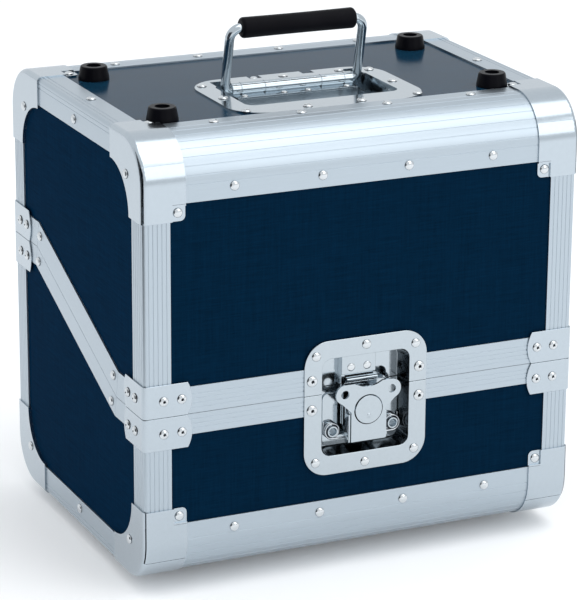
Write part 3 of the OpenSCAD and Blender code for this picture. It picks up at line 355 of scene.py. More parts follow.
@dataclass(frozen=True)
class SoftBlack:
    """Black rubber or foam."""

    name: str
    colour: tuple[float, float, float]
    roughness: float
    pits: float
    scale: float
    gloss: float = 1.45

    def material(self) -> bpy.types.Material:
        """Builds the rubber or foam once and returns it."""
        found = bpy.data.materials.get(self.name)
        if found:
            return found
        made, graph, shader, place = new_material(self.name)
        skin = group_node(graph, pores(), Vector=place, Scale=self.scale, Strength=self.pits)
        smudge = group_node(graph, handling_marks(), Vector=place, Scale=30.0)
        dusty = tuple(1.9 * value + 0.001 for value in self.colour)
        graph.feed(shader.inputs["Base Color"],
                   graph.blend(smudge.outputs["Marks"], (*self.colour, 1.0), (*dusty, 1.0)))
        graph.feed(shader.inputs["Roughness"],
                   graph.spread(skin.outputs["Pits"], self.roughness * 0.9, self.roughness * 1.15))
        graph.feed(shader.inputs["Normal"], skin.outputs["Normal"])
        shader.inputs["IOR"].default_value = self.gloss
        return made


Finish = Metal | Laminate | SoftBlack

BLUE = (0.0011, 0.0125, 0.032)
SILVER = (0.455, 0.520, 0.575)
ZINC = (0.480, 0.540, 0.590)
CHROME = (0.480, 0.535, 0.575)
PANEL_ACROSS = Laminate("blue_laminate_across", BLUE, Along.X, 1.05)
# Painted light: the top and bottom panels get a lighter, glossier copy of the blue laminate, standing in
# for the sheen that light leaves on the top.
PANEL_FLAT_PAINTED_LIGHT = Laminate("blue_laminate_flat_painted_light", (0.004, 0.026, 0.052), Along.X, 1.12)
# Painted light: the side panels get a bluer copy of the blue laminate with almost no gloss, tuned to how
# light falls on the sides.
PANEL_SIDE_PAINTED_LIGHT = Laminate("blue_laminate_side_painted_light", (0.0009, 0.0150, 0.0400), Along.Y, 1.015)
RAIL_METAL = Metal("drawn_aluminium_across", SILVER, 0.32, Along.X, 0.25, 1400.0)
ANGLE_METAL = Metal("drawn_aluminium_back", SILVER, 0.32, Along.Y, 0.25, 1400.0)
POST_METAL = Metal("drawn_aluminium_up", SILVER, 0.32, Along.Z, 0.25, 1400.0)
PLATED = Metal("plated_pressing", ZINC, 0.15, Along.NONE, 0.03, 300.0)
BRIGHT = Metal("bright_plating", CHROME, 0.10, Along.NONE, 0.02, 300.0)
RIVET_METAL = Metal("rivet_plating", (0.64, 0.67, 0.69), 0.11, Along.NONE, 0.02, 400.0)
# Painted shade: a dark copy of the plating for the latch dishes' right and lower walls, standing in for the
# shade and dark reflections there.
DISH_WALL_PAINTED_SHADE = Metal("painted_shade_dish_walls", (0.085, 0.10, 0.112), 0.12, Along.NONE, 0.02, 300.0)
# Painted shade: a near-black metal for the hollows of blind rivet heads and for a thin ring round the foot
# of every head.
RIVET_PAINTED_SHADE = Metal("rivet_shade_paint", (0.018, 0.02, 0.024), 0.45, Along.NONE, 0.10, 900.0)
WIRE_METAL = Metal("spring_wire", (0.52, 0.55, 0.58), 0.16, Along.NONE, 0.05, 600.0)
RUBBER = SoftBlack("black_rubber", (0.0018, 0.0018, 0.0030), 0.30, 0.10, 1400.0, 1.14)
GRIP_FOAM = SoftBlack("grip_foam", (0.0020, 0.0020, 0.0032), 0.40, 0.25, 1500.0, 1.13)
PAD_FOAM = SoftBlack("pad_foam", (0.012, 0.012, 0.013), 0.90, 0.80, 500.0)


# ------------------------------------------------------------- mesh workshop


def add_object(name: str, mesh: bpy.types.Mesh) -> bpy.types.Object:
    """Puts a mesh in the scene as an object at the origin."""
    made = bpy.data.objects.new(name, mesh)
    bpy.context.scene.collection.objects.link(made)
    return made


def baked(thing: bpy.types.Object) -> bpy.types.Object:
    """Turns an object's modifiers into plain mesh.

    Args:
        thing: an object with modifiers.

    Returns:
        The same object, with the evaluated mesh and no modifier.
    """
    graph = bpy.context.evaluated_depsgraph_get()
    done = bpy.data.meshes.new_from_object(thing.evaluated_get(graph), preserve_all_data_layers=True,
                                           depsgraph=graph)
    thing.modifiers.clear()
    thing.data = done
    return thing


def finished(thing: bpy.types.Object, body: Body, finish: Finish | None,
             stands_for: Sequence[str] = ()) -> bpy.types.Object:
    """Gives a new piece its material, its body and the nodes that it stands for.

    Args:
        thing: the piece.
        body: the body that it rides on.
        finish: its finish, or None where its materials are already set.
        stands_for: the CAD nodes that it replaces.

    Returns:
        The piece.
    """
    if finish:
        thing.data.materials.clear()
        thing.data.materials.append(finish.material())
    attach(thing, body.value)
    if stands_for:
        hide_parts(*stands_for)
    LOG.info("%s rides on %s", thing.name, body.value)
    return thing


@dataclass
class SoftEdges:
    """Copies of CAD nodes with their sharp edges rounded as pressing and drawing leave them."""

    nodes: dict[str, bpy.types.Object]
    merge: float = 0.002 * MM
    flat_angle: float = math.radians(0.5)
    edge_angle: float = math.radians(32)
    rounded_crease: float = math.radians(50)
    plain_crease: float = math.radians(28)

    def copy(self, node: str, width: float, segments: int = 2) -> bpy.types.Object:
        """Makes the rounded copy of one node.

        Args:
            node: the CAD node's name.
            width: how far from the edge the rounding starts, in metres.
            segments: strips in the rounding.

        Returns:
            The new object, not yet finished.
        """
        work = bmesh.new()
        work.from_mesh(self.nodes[node].data)
        bmesh.ops.remove_doubles(work, verts=work.verts, dist=self.merge)
        bmesh.ops.dissolve_limit(work, angle_limit=self.flat_angle, verts=work.verts, edges=work.edges)
        for face in work.faces:
            face.smooth = True
        mesh = bpy.data.meshes.new(f"{node}_rounded")
        work.to_mesh(mesh)
        work.free()
        made = add_object(f"{node}_rounded", mesh)
        if width > 0:
            rounding = made.modifiers.new("rounding", "BEVEL")
            rounding.width = width
            rounding.segments = segments
            rounding.limit_method = "ANGLE"
            rounding.angle_limit = self.edge_angle
            rounding.use_clamp_overlap = True
            baked(made)
        made.data.set_sharp_from_angle(angle=self.rounded_crease if width > 0 else self.plain_crease)
        shading = made.modifiers.new("shading", "WEIGHTED_NORMAL")
        shading.keep_sharp = True
        return baked(made)


@dataclass(frozen=True)
class Dress:
    """How one CAD node is dressed."""

    body: Body
    finish: Finish
    slot: Slot
    edge: float = 0.3


# -------------------------------------------------------------------- rivets


Box = tuple[Vector, Vector]
HEAD_ROOM = Vector((2, 2, 0)) * MM


@dataclass(frozen=True)
class Site:
    """Where a rivet sits, and whether it is a blind rivet with a hollow in its head."""

    centre: Vector
    facing: Vector
    radius: float
    height: float
    blind: bool


def islands(work: bmesh.types.BMesh) -> list[list[bmesh.types.BMVert]]:
    """Lists the loose parts of a mesh by their vertices."""
    left = set(work.verts)
    parts = []
    while left:
        reached = [left.pop()]
        for vert in reached:
            for edge in vert.link_edges:
                other = edge.other_vert(vert)
                if other in left:
                    left.remove(other)
                    reached.append(other)
        parts.append(reached)
    return parts


def extent(part: Sequence[bmesh.types.BMVert]) -> Box:
    """Returns the lowest and the highest corner of a loose part."""
    low = Vector([min(vert.co[axis] for vert in part) for axis in range(3)])
    high = Vector([max(vert.co[axis] for vert in part) for axis in range(3)])
    return low, high


def loose_parts(node: bpy.types.Object) -> tuple[bmesh.types.BMesh, list[list[bmesh.types.BMVert]]]:
    """Returns a merged copy of a node's mesh and its loose parts."""
    work = bmesh.new()
    work.from_mesh(node.data)
    bmesh.ops.remove_doubles(work, verts=work.verts, dist=0.002 * MM)
    return work, islands(work)


def plate_boxes(node: bpy.types.Object) -> list[Box]:
    """Lists the boxes of a node's loose parts, with room for the heads that stand on them."""
    work, parts = loose_parts(node)
    boxes = [(low - HEAD_ROOM, high + HEAD_ROOM) for low, high in map(extent, parts)]
    work.free()
    return boxes


def rivet_sites(node: bpy.types.Object, plates: Sequence[Box], large: float) -> list[Site]:
    """Finds the rivets of a CAD node.

    Args:
        node: an object whose loose parts are domed heads.
        plates: boxes of the plates that blind rivets hold.
        large: a head with a larger radius is blind too.

    Returns:
        One site for each head, at the middle of its flat side.
    """
    work, parts = loose_parts(node)
    sites = []
    for part in parts:
        low, high = extent(part)
        size = high - low
        thin = min(range(3), key=lambda axis: size[axis])
        middle = (low + high) / 2
        across = [axis for axis in range(3) if axis != thin]
        widest = max(part, key=lambda vert: sum((vert.co[axis] - middle[axis]) ** 2 for axis in across))
        facing = Vector((0.0, 0.0, 0.0))
        facing[thin] = 1.0 if widest.co[thin] < middle[thin] else -1.0
        centre = middle - facing * size[thin] / 2
        radius = size[across[0]] / 2
        held = any(all(a[i] < centre[i] < b[i] for i in range(3)) for a, b in plates)
        sites.append(Site(centre, facing, radius, size[thin], held or radius > large))
    work.free()
    return sites


@dataclass
class RivetTree:
    """A Geometry Nodes tree that turns a head for every site, plain or with a hollow in it, with painted
    shade in the hollow and round the foot of each head.

    All radii are shares of the head's radius, and all heights are shares of its height.
    """

    segments: int = 24
    rings: int = 12
    hollow_rings: int = 30
    rim: float = 0.12
    sunk: float = 0.1
    hollow: float = 0.8
    hollow_floor: float = 0.25
    hollow_lip: float = 0.35
    # Painted shade covers a hollow head's pit out to this share of the radius, and every head's wall beyond
    # the seat share below.
    hollow_shade_reach: float = 0.3
    seat: float = 0.985
    weld: float = 0.001
    tree: bpy.types.NodeTree = field(init=False)

    def __post_init__(self) -> None:
        """Builds the tree."""
        self.tree = bpy.data.node_groups.new("rivet_heads", "GeometryNodeTree")
        face = self.tree.interface
        for kind, names in (("Geometry", ("Geometry",)), ("Int", ("Segments", "Rings", "Hollow Rings")),
                            ("Float", ("Rim", "Hollow")), ("Material", ("Material", "Painted Shade Material"))):
            for name in names:
                face.new_socket(name=name, in_out="INPUT", socket_type=f"NodeSocket{kind}")
        face.new_socket(name="Geometry", in_out="OUTPUT", socket_type="NodeSocketGeometry")
        graph = Graph(self.tree)
        given = graph.node("NodeGroupInput")
        result = graph.node("NodeGroupOutput")
        blind = graph.node("GeometryNodeInputNamedAttribute", {"data_type": "BOOLEAN"}, Name="blind")
        plain = graph.node("FunctionNodeBooleanMath", {"operation": "NOT"})
        graph.feed(plain.inputs[0], blind.outputs["Attribute"])
        joined = graph.node("GeometryNodeJoinGeometry")
        domes = self.head(graph, given, given.outputs["Rings"], 0.0)
        graph.feed(joined.inputs[0], self.spread(graph, given, domes, plain.outputs[0]))
        hollows = self.head(graph, given, given.outputs["Hollow Rings"], given.outputs["Hollow"])
        graph.feed(joined.inputs[0], self.spread(graph, given, hollows, blind.outputs["Attribute"]))
        real = graph.node("GeometryNodeRealizeInstances", Geometry=joined.outputs[0])
        smooth = graph.node("GeometryNodeSetShadeSmooth")
        graph.feed(smooth.inputs["Geometry"], real.outputs["Geometry"])
        painted = graph.node("GeometryNodeSetMaterial", Geometry=smooth.outputs["Geometry"],
                             Material=given.outputs["Material"])
        # Faces marked for painted shade get the near-black material.
        inside = graph.node("GeometryNodeInputNamedAttribute", {"data_type": "BOOLEAN"}, Name="inside")
        dark = graph.node("GeometryNodeSetMaterial", Geometry=painted.outputs["Geometry"],
                          Selection=inside.outputs["Attribute"], Material=given.outputs["Painted Shade Material"])
        graph.feed(result.inputs[0], dark.outputs["Geometry"])

    def head(self, graph: Graph, given: bpy.types.Node, rings: object,
             hollow: object) -> bpy.types.NodeSocket:
        """Bends a grid into one closed head of radius and height 1, facing +Z.

        Args:
            graph: the tree's graph.
            given: the tree's input node.
            rings: rows of the grid, of which the last two close the head below.
            hollow: how deep the hollow is, as a share of the height.

        Returns:
            The head's geometry.
        """
        columns = graph.math("ADD", given.outputs["Segments"], 1.0)
        grid = graph.node("GeometryNodeMeshGrid", Size_X=1.0, Size_Y=1.0, Vertices_X=columns,
                          Vertices_Y=rings)
        place = self.where(graph)
        turn = graph.math("MULTIPLY", place.outputs["X"], -2 * math.pi)
        last = graph.math("SUBTRACT", rings, 1.0)
        row = graph.math("MULTIPLY", graph.math("ADD", place.outputs["Y"], 0.5), last)
        last_arc = graph.math("SUBTRACT", rings, 3.0)
        share = graph.math("MINIMUM", graph.math("DIVIDE", row, last_arc), 1.0)
        arc = graph.math("MULTIPLY", share, math.pi / 2)
        ends = graph.math("GREATER_THAN", row, graph.math("SUBTRACT", rings, 1.5))
        radius = graph.math("MULTIPLY", graph.math("SINE", arc), graph.math("SUBTRACT", 1.0, ends))
        under = graph.math("GREATER_THAN", row, graph.math("SUBTRACT", rings, 2.5))
        crown = graph.math("SUBTRACT", 1.0, given.outputs["Rim"])
        dome = graph.math("MULTIPLY", graph.math("COSINE", arc), crown)
        wall = graph.node("ShaderNodeMapRange", {"interpolation_type": "SMOOTHSTEP"}, Value=radius,
                          From_Min=self.hollow_floor, From_Max=self.hollow_lip, To_Min=1.0, To_Max=0.0)
        pit = graph.math("MULTIPLY", wall.outputs["Result"], hollow)
        rise = graph.math("SUBTRACT", graph.math("ADD", dome, given.outputs["Rim"]), pit)
        above_seat = graph.math("MULTIPLY", rise, graph.math("SUBTRACT", 1.0, under))
        height = graph.math("SUBTRACT", above_seat, graph.math("MULTIPLY", under, self.sunk))
        point = graph.node("ShaderNodeCombineXYZ", Z=height,
                           X=graph.math("MULTIPLY", radius, graph.math("COSINE", turn)),
                           Y=graph.math("MULTIPLY", radius, graph.math("SINE", turn)))
        bent = graph.node("GeometryNodeSetPosition", Geometry=grid.outputs["Mesh"],
                          Position=point.outputs[0])
        closed = graph.node("GeometryNodeMergeByDistance", Geometry=bent.outputs[0], Distance=self.weld)
        # Marks the faces that get painted shade.
        marked = graph.node("GeometryNodeStoreNamedAttribute", {"data_type": "BOOLEAN", "domain": "FACE"},
                            Geometry=closed.outputs[0], Name="inside", Value=self.painted_shade_faces(graph, hollow))
        return marked.outputs["Geometry"]

    def where(self, graph: Graph) -> bpy.types.Node:
        """Returns a node that gives the position's three parts."""
        return graph.node("ShaderNodeSeparateXYZ",
                          Vector=graph.node("GeometryNodeInputPosition").outputs[0])

    def painted_shade_faces(self, graph: Graph, hollow: object) -> bpy.types.NodeSocket:
        """Picks the faces that get painted shade: those in the hollow and those of the wall down to the
        seat.
        """
        spot = self.where(graph)
        level = graph.node("ShaderNodeCombineXYZ", X=spot.outputs["X"], Y=spot.outputs["Y"], Z=0.0)
        reach = graph.node("ShaderNodeVectorMath", {"operation": "LENGTH"})
        graph.feed(reach.inputs[0], level.outputs[0])
        near = graph.math("LESS_THAN", reach.outputs["Value"], self.hollow_shade_reach)
        above = graph.math("GREATER_THAN", spot.outputs["Z"], 0.0)
        deep = graph.math("GREATER_THAN", hollow, 0.0)
        pitted = graph.math("MULTIPLY", graph.math("MULTIPLY", near, above), deep)
        # A thin ring at the foot of each head, where it meets its plate, gets painted shade.
        edge = graph.math("GREATER_THAN", reach.outputs["Value"], self.seat)
        return graph.math("MAXIMUM", pitted, edge)

    def spread(self, graph: Graph, given: bpy.types.Node, head: bpy.types.NodeSocket,
               chosen: bpy.types.NodeSocket) -> bpy.types.NodeSocket:
        """Puts a head on the chosen sites and returns the instances."""
        kind = {"data_type": "FLOAT_VECTOR"}
        facing, size = (graph.node("GeometryNodeInputNamedAttribute", kind, Name=name)
                        for name in ("facing", "size"))
        turn = graph.node("FunctionNodeAlignRotationToVector", {"axis": "Z"},
                          Vector=facing.outputs["Attribute"])
        placed = graph.node("GeometryNodeInstanceOnPoints", Points=given.outputs["Geometry"],
                            Selection=chosen, Instance=head, Rotation=turn.outputs["Rotation"],
                            Scale=size.outputs["Attribute"])
        return placed.outputs["Instances"]

    def place(self, name: str, sites: Sequence[Site]) -> bpy.types.Object:
        """Makes one mesh with a head on every site.

        Args:
            name: the object's name.
            sites: where the heads sit.

        Returns:
            The plain mesh object, with its materials.
        """
        mesh = bpy.data.meshes.new(name)
        mesh.from_pydata([site.centre for site in sites], [], [])
        facing = mesh.attributes.new("facing", "FLOAT_VECTOR", "POINT")
        size = mesh.attributes.new("size", "FLOAT_VECTOR", "POINT")
        blind = mesh.attributes.new("blind", "BOOLEAN", "POINT")
        for index, site in enumerate(sites):
            facing.data[index].vector = site.facing
            size.data[index].vector = (site.radius, site.radius, site.height)
            blind.data[index].value = site.blind
        made = add_object(name, mesh)
        heads = made.modifiers.new("heads", "NODES")
        heads.node_group = self.tree
        values = {"Segments": self.segments, "Rings": self.rings, "Hollow Rings": self.hollow_rings,
                  "Rim": self.rim, "Hollow": self.hollow, "Material": RIVET_METAL.material(),
                  "Painted Shade Material": RIVET_PAINTED_SHADE.material()}
        for item in self.tree.interface.items_tree:
            if item.in_out == "INPUT" and item.name in values:
                heads[item.identifier] = values[item.name]
        return baked(made)


# ------------------------------------------------------------ sub-assemblies


@dataclass
class Shell:
    """Panels, extrusions and pressed corners of the base and the lid."""

    nodes: dict[str, bpy.types.Object]
    edges: SoftEdges

    def plan(self) -> dict[str, Dress]:
        """Lists how each node of the shell is dressed."""
        plan: dict[str, Dress] = {}
        for prefix, body in (("base", Body.BASE), ("lid", Body.LID)):
            flat = "bottom" if body is Body.BASE else "top"
            for part in (flat, "front", "back"):
                # The top and bottom panels take the lighter copy of the laminate, which is painted light.
                panel = PANEL_FLAT_PAINTED_LIGHT if part == flat else PANEL_ACROSS
                plan[f"{prefix}_{part}_panel"] = Dress(body, panel, Slot.PANEL, 0.25)
            for part in ("left", "right"):
                # The side panels take the side copy of the laminate, which is painted light.
                plan[f"{prefix}_{part}_panel"] = Dress(body, PANEL_SIDE_PAINTED_LIGHT, Slot.PANEL, 0.25)
                plan[f"{prefix}_{part}_angle"] = Dress(body, ANGLE_METAL, Slot.ALUMINIUM, 0.12)
                plan[f"{prefix}_{part}_rim"] = Dress(body, ANGLE_METAL, Slot.ALUMINIUM, 0.2)
            for part in ("front", "back"):
                plan[f"{prefix}_{part}_rail"] = Dress(body, RAIL_METAL, Slot.ALUMINIUM, 0.12)
                plan[f"{prefix}_{part}_rim"] = Dress(body, RAIL_METAL, Slot.ALUMINIUM, 0.12)
            plan[f"{prefix}_corner_posts"] = Dress(body, POST_METAL, Slot.ALUMINIUM, 0.12)
            plan[f"{prefix}_corner_caps"] = Dress(body, PLATED, Slot.PRESSED_STEEL, 0.35)
            plan[f"{prefix}_brackets"] = Dress(body, PLATED, Slot.PRESSED_STEEL, 0.35)
            plan[f"{prefix}_feet"] = Dress(body, RUBBER, Slot.RUBBER, 0.4)
        return plan

    def build(self) -> None:
        """Dresses every node of the shell."""
        for node, dress in self.plan().items():
            piece = self.edges.copy(node, dress.edge * MM)
            finished(piece, dress.body, dress.finish, [node])


@dataclass
class Fittings:
    """Latch, handle dish and hinges, all bright plated, with painted shade on the latch dishes' right and
    lower walls.
    """

    edges: SoftEdges
    rounding: dict[str, float] = field(default_factory=lambda: {
        "latch_base_dish": 0.4, "latch_lid_dish": 0.4, "latch_base_plate": 0.25, "latch_strike": 0.3,
        "latch_rotor": 0.3, "latch_fold_pin": 0.15, "latch_butterfly": 0.5, "latch_hook": 0.3,
        "handle_dish": 0.4, "handle_barrel": 0.3, "hinge_base_leaves": 0.25, "hinge_lid_leaves": 0.25,
        "hinge_pins": 0.2, "base_foot_screws": 0.1, "lid_foot_screws": 0.1})
    dishes: tuple[str, ...] = ("latch_base_dish", "latch_lid_dish")
    # Faces behind the flange that face left or up get the painted shade.
    flange: float = 2.5 * MM
    steep: float = 0.6

    def body(self, node: str) -> Body:
        """Returns the body that a fitting belongs to."""
        moving = {"latch_rotor": Body.ROTOR, "latch_fold_pin": Body.ROTOR,
                  "latch_butterfly": Body.BUTTERFLY, "latch_hook": Body.HOOK}
        on_lid = node.startswith(("latch_lid", "latch_strike", "handle_", "hinge_lid", "lid_"))
        return moving.get(node, Body.LID if on_lid else Body.BASE)

    def paint_wall_shade(self, piece: bpy.types.Object) -> None:
        """Paints shade on a dish's right and lower walls: a dark copy of the plating stands in for the
        shade and dark reflections in the recess.
        """
        piece.data.materials.append(DISH_WALL_PAINTED_SHADE.material())
        front = min(vert.co.y for vert in piece.data.vertices)
        for face in piece.data.polygons:
            inner = face.center.y > front + self.flange
            if inner and (face.normal.x < -self.steep or face.normal.z > self.steep):
                face.material_index = 1

    def build(self) -> None:
        """Dresses every fitting."""
        for node, width in self.rounding.items():
            piece = self.edges.copy(node, width * MM)
            finished(piece, self.body(node), BRIGHT, [node])
            if node in self.dishes:
                self.paint_wall_shade(piece)


@dataclass
class Rivets:
    """All the rivets, one mesh for each body.

    Blind ones hold the brackets, and the latch beside the split.
    """

    nodes: dict[str, bpy.types.Object]
    large: float = 4.1 * MM
    groups: dict[Body, tuple[str, ...]] = field(default_factory=lambda: {
        Body.BASE: ("base_rivets", "latch_base_rivets"),
        Body.LID: ("lid_rivets", "latch_lid_rivets", "handle_rivets")})

    def build(self) -> None:
        """Places the heads where the CAD rivets are."""
        tree = RivetTree()
        for body, names in self.groups.items():
            plates = plate_boxes(self.nodes[f"{body.value}_brackets"])
            sites = [site for name in names for site in rivet_sites(self.nodes[name], plates, self.large)]
            piece = tree.place(f"{body.value}_rivet_heads", sites)
            finished(piece, body, None, names)
            blind = sum(site.blind for site in sites)
            LOG.info("%d of %d heads on %s are blind", blind, len(sites), body.value)


def tube(name: str, path: Sequence[Vector], radius: float, sides: int) -> bpy.types.Object:
    """Sweeps a round section along a path.

    Args:
        name: the object's name.
        path: the points of the centre line.
        radius: the section's radius.
        sides: the corners of the section.

    Returns:
        The closed tube.
    """
    work = bmesh.new()
    rings = []
    across = None
    for index, point in enumerate(path):
        ahead = path[min(index + 1, len(path) - 1)]
        behind = path[max(index - 1, 0)]
        heading = (ahead - behind).normalized()
        start = heading.orthogonal() if across is None else across
        across = (start - heading * start.dot(heading)).normalized()
        other = heading.cross(across)
        rings.append([work.verts.new(point + radius * (across * math.cos(turn) + other * math.sin(turn)))
                      for turn in (2 * math.pi * side / sides for side in range(sides))])
    for first, second in zip(rings, rings[1:]):
        for side in range(sides):
            after = (side + 1) % sides
            work.faces.new((first[side], first[after], second[after], second[side]))
    work.faces.new(list(reversed(rings[0])))
    work.faces.new(rings[-1])
    bmesh.ops.recalc_face_normals(work, faces=work.faces)
    for face in work.faces:
        face.smooth = True
    mesh = bpy.data.meshes.new(name)
    work.to_mesh(mesh)
    work.free()
    mesh.set_sharp_from_angle(angle=math.radians(40))
    return add_object(name, mesh)


def lathe(name: str, profile: Sequence[tuple[float, float]], sides: int, place: Matrix) -> bpy.types.Object:
    """Turns a profile of (radius, height) round the Z axis, then places it.

    Args:
        name: the object's name.
        profile: the points from the lower middle to the upper middle.
        sides: steps round the axis.
        place: where the axis goes.

    Returns:
        The closed shape.
    """
    work = bmesh.new()
    points = [work.verts.new((radius, 0.0, height)) for radius, height in profile]
    chain = [work.edges.new(pair) for pair in zip(points, points[1:])]
    bmesh.ops.spin(work, geom=points + chain, cent=(0, 0, 0), axis=(0, 0, 1),
                   angle=2 * math.pi, steps=sides, use_merge=True)
    bmesh.ops.remove_doubles(work, verts=work.verts, dist=0.001 * MM)
    bmesh.ops.recalc_face_normals(work, faces=work.faces)
    work.transform(place)
    for face in work.faces:
        face.smooth = True
    mesh = bpy.data.meshes.new(name)
    work.to_mesh(mesh)
    work.free()
    mesh.set_sharp_from_angle(angle=math.radians(45))
    return add_object(name, mesh)


@dataclass
class CarryHandle:
    """The bail and its foam grip, which lean forward a little as the handle is let go."""

    span: float = 114 * MM
    rod: float = 3.75 * MM
    rise: float = 52.5 * MM
    bend: float = 9 * MM
    tuck: float = 24 * MM
    lean: float = math.radians(12.5)
    barrel_radius: float = 5.21 * MM
    arc_steps: int = 14
    grip_length: float = 97 * MM
    grip_radius: float = 8.25 * MM
    grip_ease: float = 2.6 * MM
    grip_dip: float = 0.25 * MM
    grip_steps: int = 6
    foot_room: float = 1.5 * MM

    def place(self) -> Matrix:
        """Returns the place of the pivot, turned by the lean."""
        low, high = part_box("handle_barrel")
        pivot = Vector(((low.x + high.x) / 2, high.y - self.barrel_radius, high.z - self.barrel_radius))
        return Matrix.Translation(pivot) @ Matrix.Rotation(self.lean, 4, "X")

    def arc(self, centre: Vector, radius: float, start: float, stop: float) -> list[Vector]:
        """Returns points of an arc in the XZ plane, from start to stop in degrees."""
        turns = [math.radians(start + (stop - start) * i / self.arc_steps)
                 for i in range(self.arc_steps + 1)]
        return [centre + radius * Vector((math.cos(turn), 0, math.sin(turn))) for turn in turns]

    def path(self) -> list[Vector]:
        """Returns the rod's centre line, from one end in the barrel to the other."""
        half = self.span / 2
        small = self.rod + self.foot_room
        right = [Vector((half - small - self.tuck, 0, 0))]
        right += self.arc(Vector((half - small, 0, small)), small, -90, 0)
        right += self.arc(Vector((half - self.bend, 0, self.rise - self.bend)), self.bend, 0, 90)
        left = [Vector((-point.x, 0, point.z)) for point in reversed(right)]
        return [self.place() @ point for point in right + left]

    def grip_profile(self) -> list[tuple[float, float]]:
        """Returns the foam's outline: rounded ends and a faint hollow along the middle."""
        half = self.grip_length / 2
        wide, ease, steps = self.grip_radius, self.grip_ease, self.grip_steps
        profile = [(self.rod, -half)]
        for step in range(steps + 1):
            turn = math.radians(90 * step / steps)
            profile.append((wide - ease + ease * math.sin(turn), -half + ease - ease * math.cos(turn)))
        for step in range(1 - steps, 0):
            share = step / steps
            profile.append((wide - self.grip_dip * math.cos(math.pi / 2 * share), half * share))
        profile += [(radius, -height) for radius, height in reversed(profile)]
        return profile + [(self.rod, -half)]

    def build(self) -> None:
        """Makes the bail and the grip."""
        bail = tube("handle_rod", self.path(), self.rod, 40)
        finished(bail, Body.HANDLE, BRIGHT, ["handle_bail"])
        across = Matrix.Translation((0, 0, self.rise)) @ Matrix.Rotation(math.pi / 2, 4, "Y")
        grip = lathe("handle_foam", self.grip_profile(), 48, self.place() @ across)
        finished(grip, Body.HANDLE, GRIP_FOAM, ["handle_grip"])


@dataclass
class LatchSprings:
    """The two torsion springs of the latch."""

    wire: float = 0.75 * MM
    coil: float = 6 * MM
    pitch: float = 2 * MM
    turns: float = 2.25
    leg: float = 7 * MM
    arm_end: float = 13.1 * MM
    steps: int = 40

    def path(self, centre: Vector, side: float) -> list[Vector]:
        """Returns the centre line of one spring.

        Args:
            centre: the middle of the coil, at the depth of the first turn.
            side: 1 for the right spring and -1 for the left one.

        Returns:
            The straight leg, the coil and the arm.
        """
        low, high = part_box("latch_springs")
        stop = (low.x + high.x) / 2 + side * self.arm_end
        points = [centre + Vector((side * self.coil, 0, self.leg))]
        for i in range(int(self.turns * self.steps) + 1):
            turn = 2 * math.pi * i / self.steps
            points.append(centre + Vector((side * self.coil * math.cos(turn), -self.pitch * i / self.steps,
                                           -self.coil * math.sin(turn))))
        last = points[-1].copy()
        last.x = stop
        return points + [last]

    def build(self) -> None:
        """Makes both springs as one piece."""
        low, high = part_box("latch_springs")
        middle = (low.x + high.x) / 2
        reach = (high.x - low.x) / 2 - self.wire - self.coil
        made = []
        for side in (1.0, -1.0):
            centre = Vector((middle + side * reach, high.y - self.wire, low.z + self.wire + self.coil))
            made.append(tube(f"spring_{'right' if side > 0 else 'left'}", self.path(centre, side),
                             self.wire, 16))
        work = bmesh.new()
        for spring in made:
            work.from_mesh(spring.data)
        mesh = bpy.data.meshes.new("latch_spring_wires")
        work.to_mesh(mesh)
        work.free()
        for spring in made:
            bpy.data.objects.remove(spring)
        finished(add_object("latch_spring_wires", mesh), Body.BASE, WIRE_METAL,
                 ["latch_springs"])


@dataclass
class Linings:
    """The foam pads in the bottom and the top."""

    edges: SoftEdges
    rounding: float = 1.5 * MM
    strips: int = 4
    fill: float = 0.95

    def build(self) -> None:
        """Makes both pads with rounded edges."""
        for node, body in (("base_lining", Body.BASE), ("lid_lining", Body.LID)):
            pad = self.edges.copy(node, self.rounding, self.strips)
            finished(pad, body, PAD_FOAM, [node])


# --------------------------------------------------------------------- studio


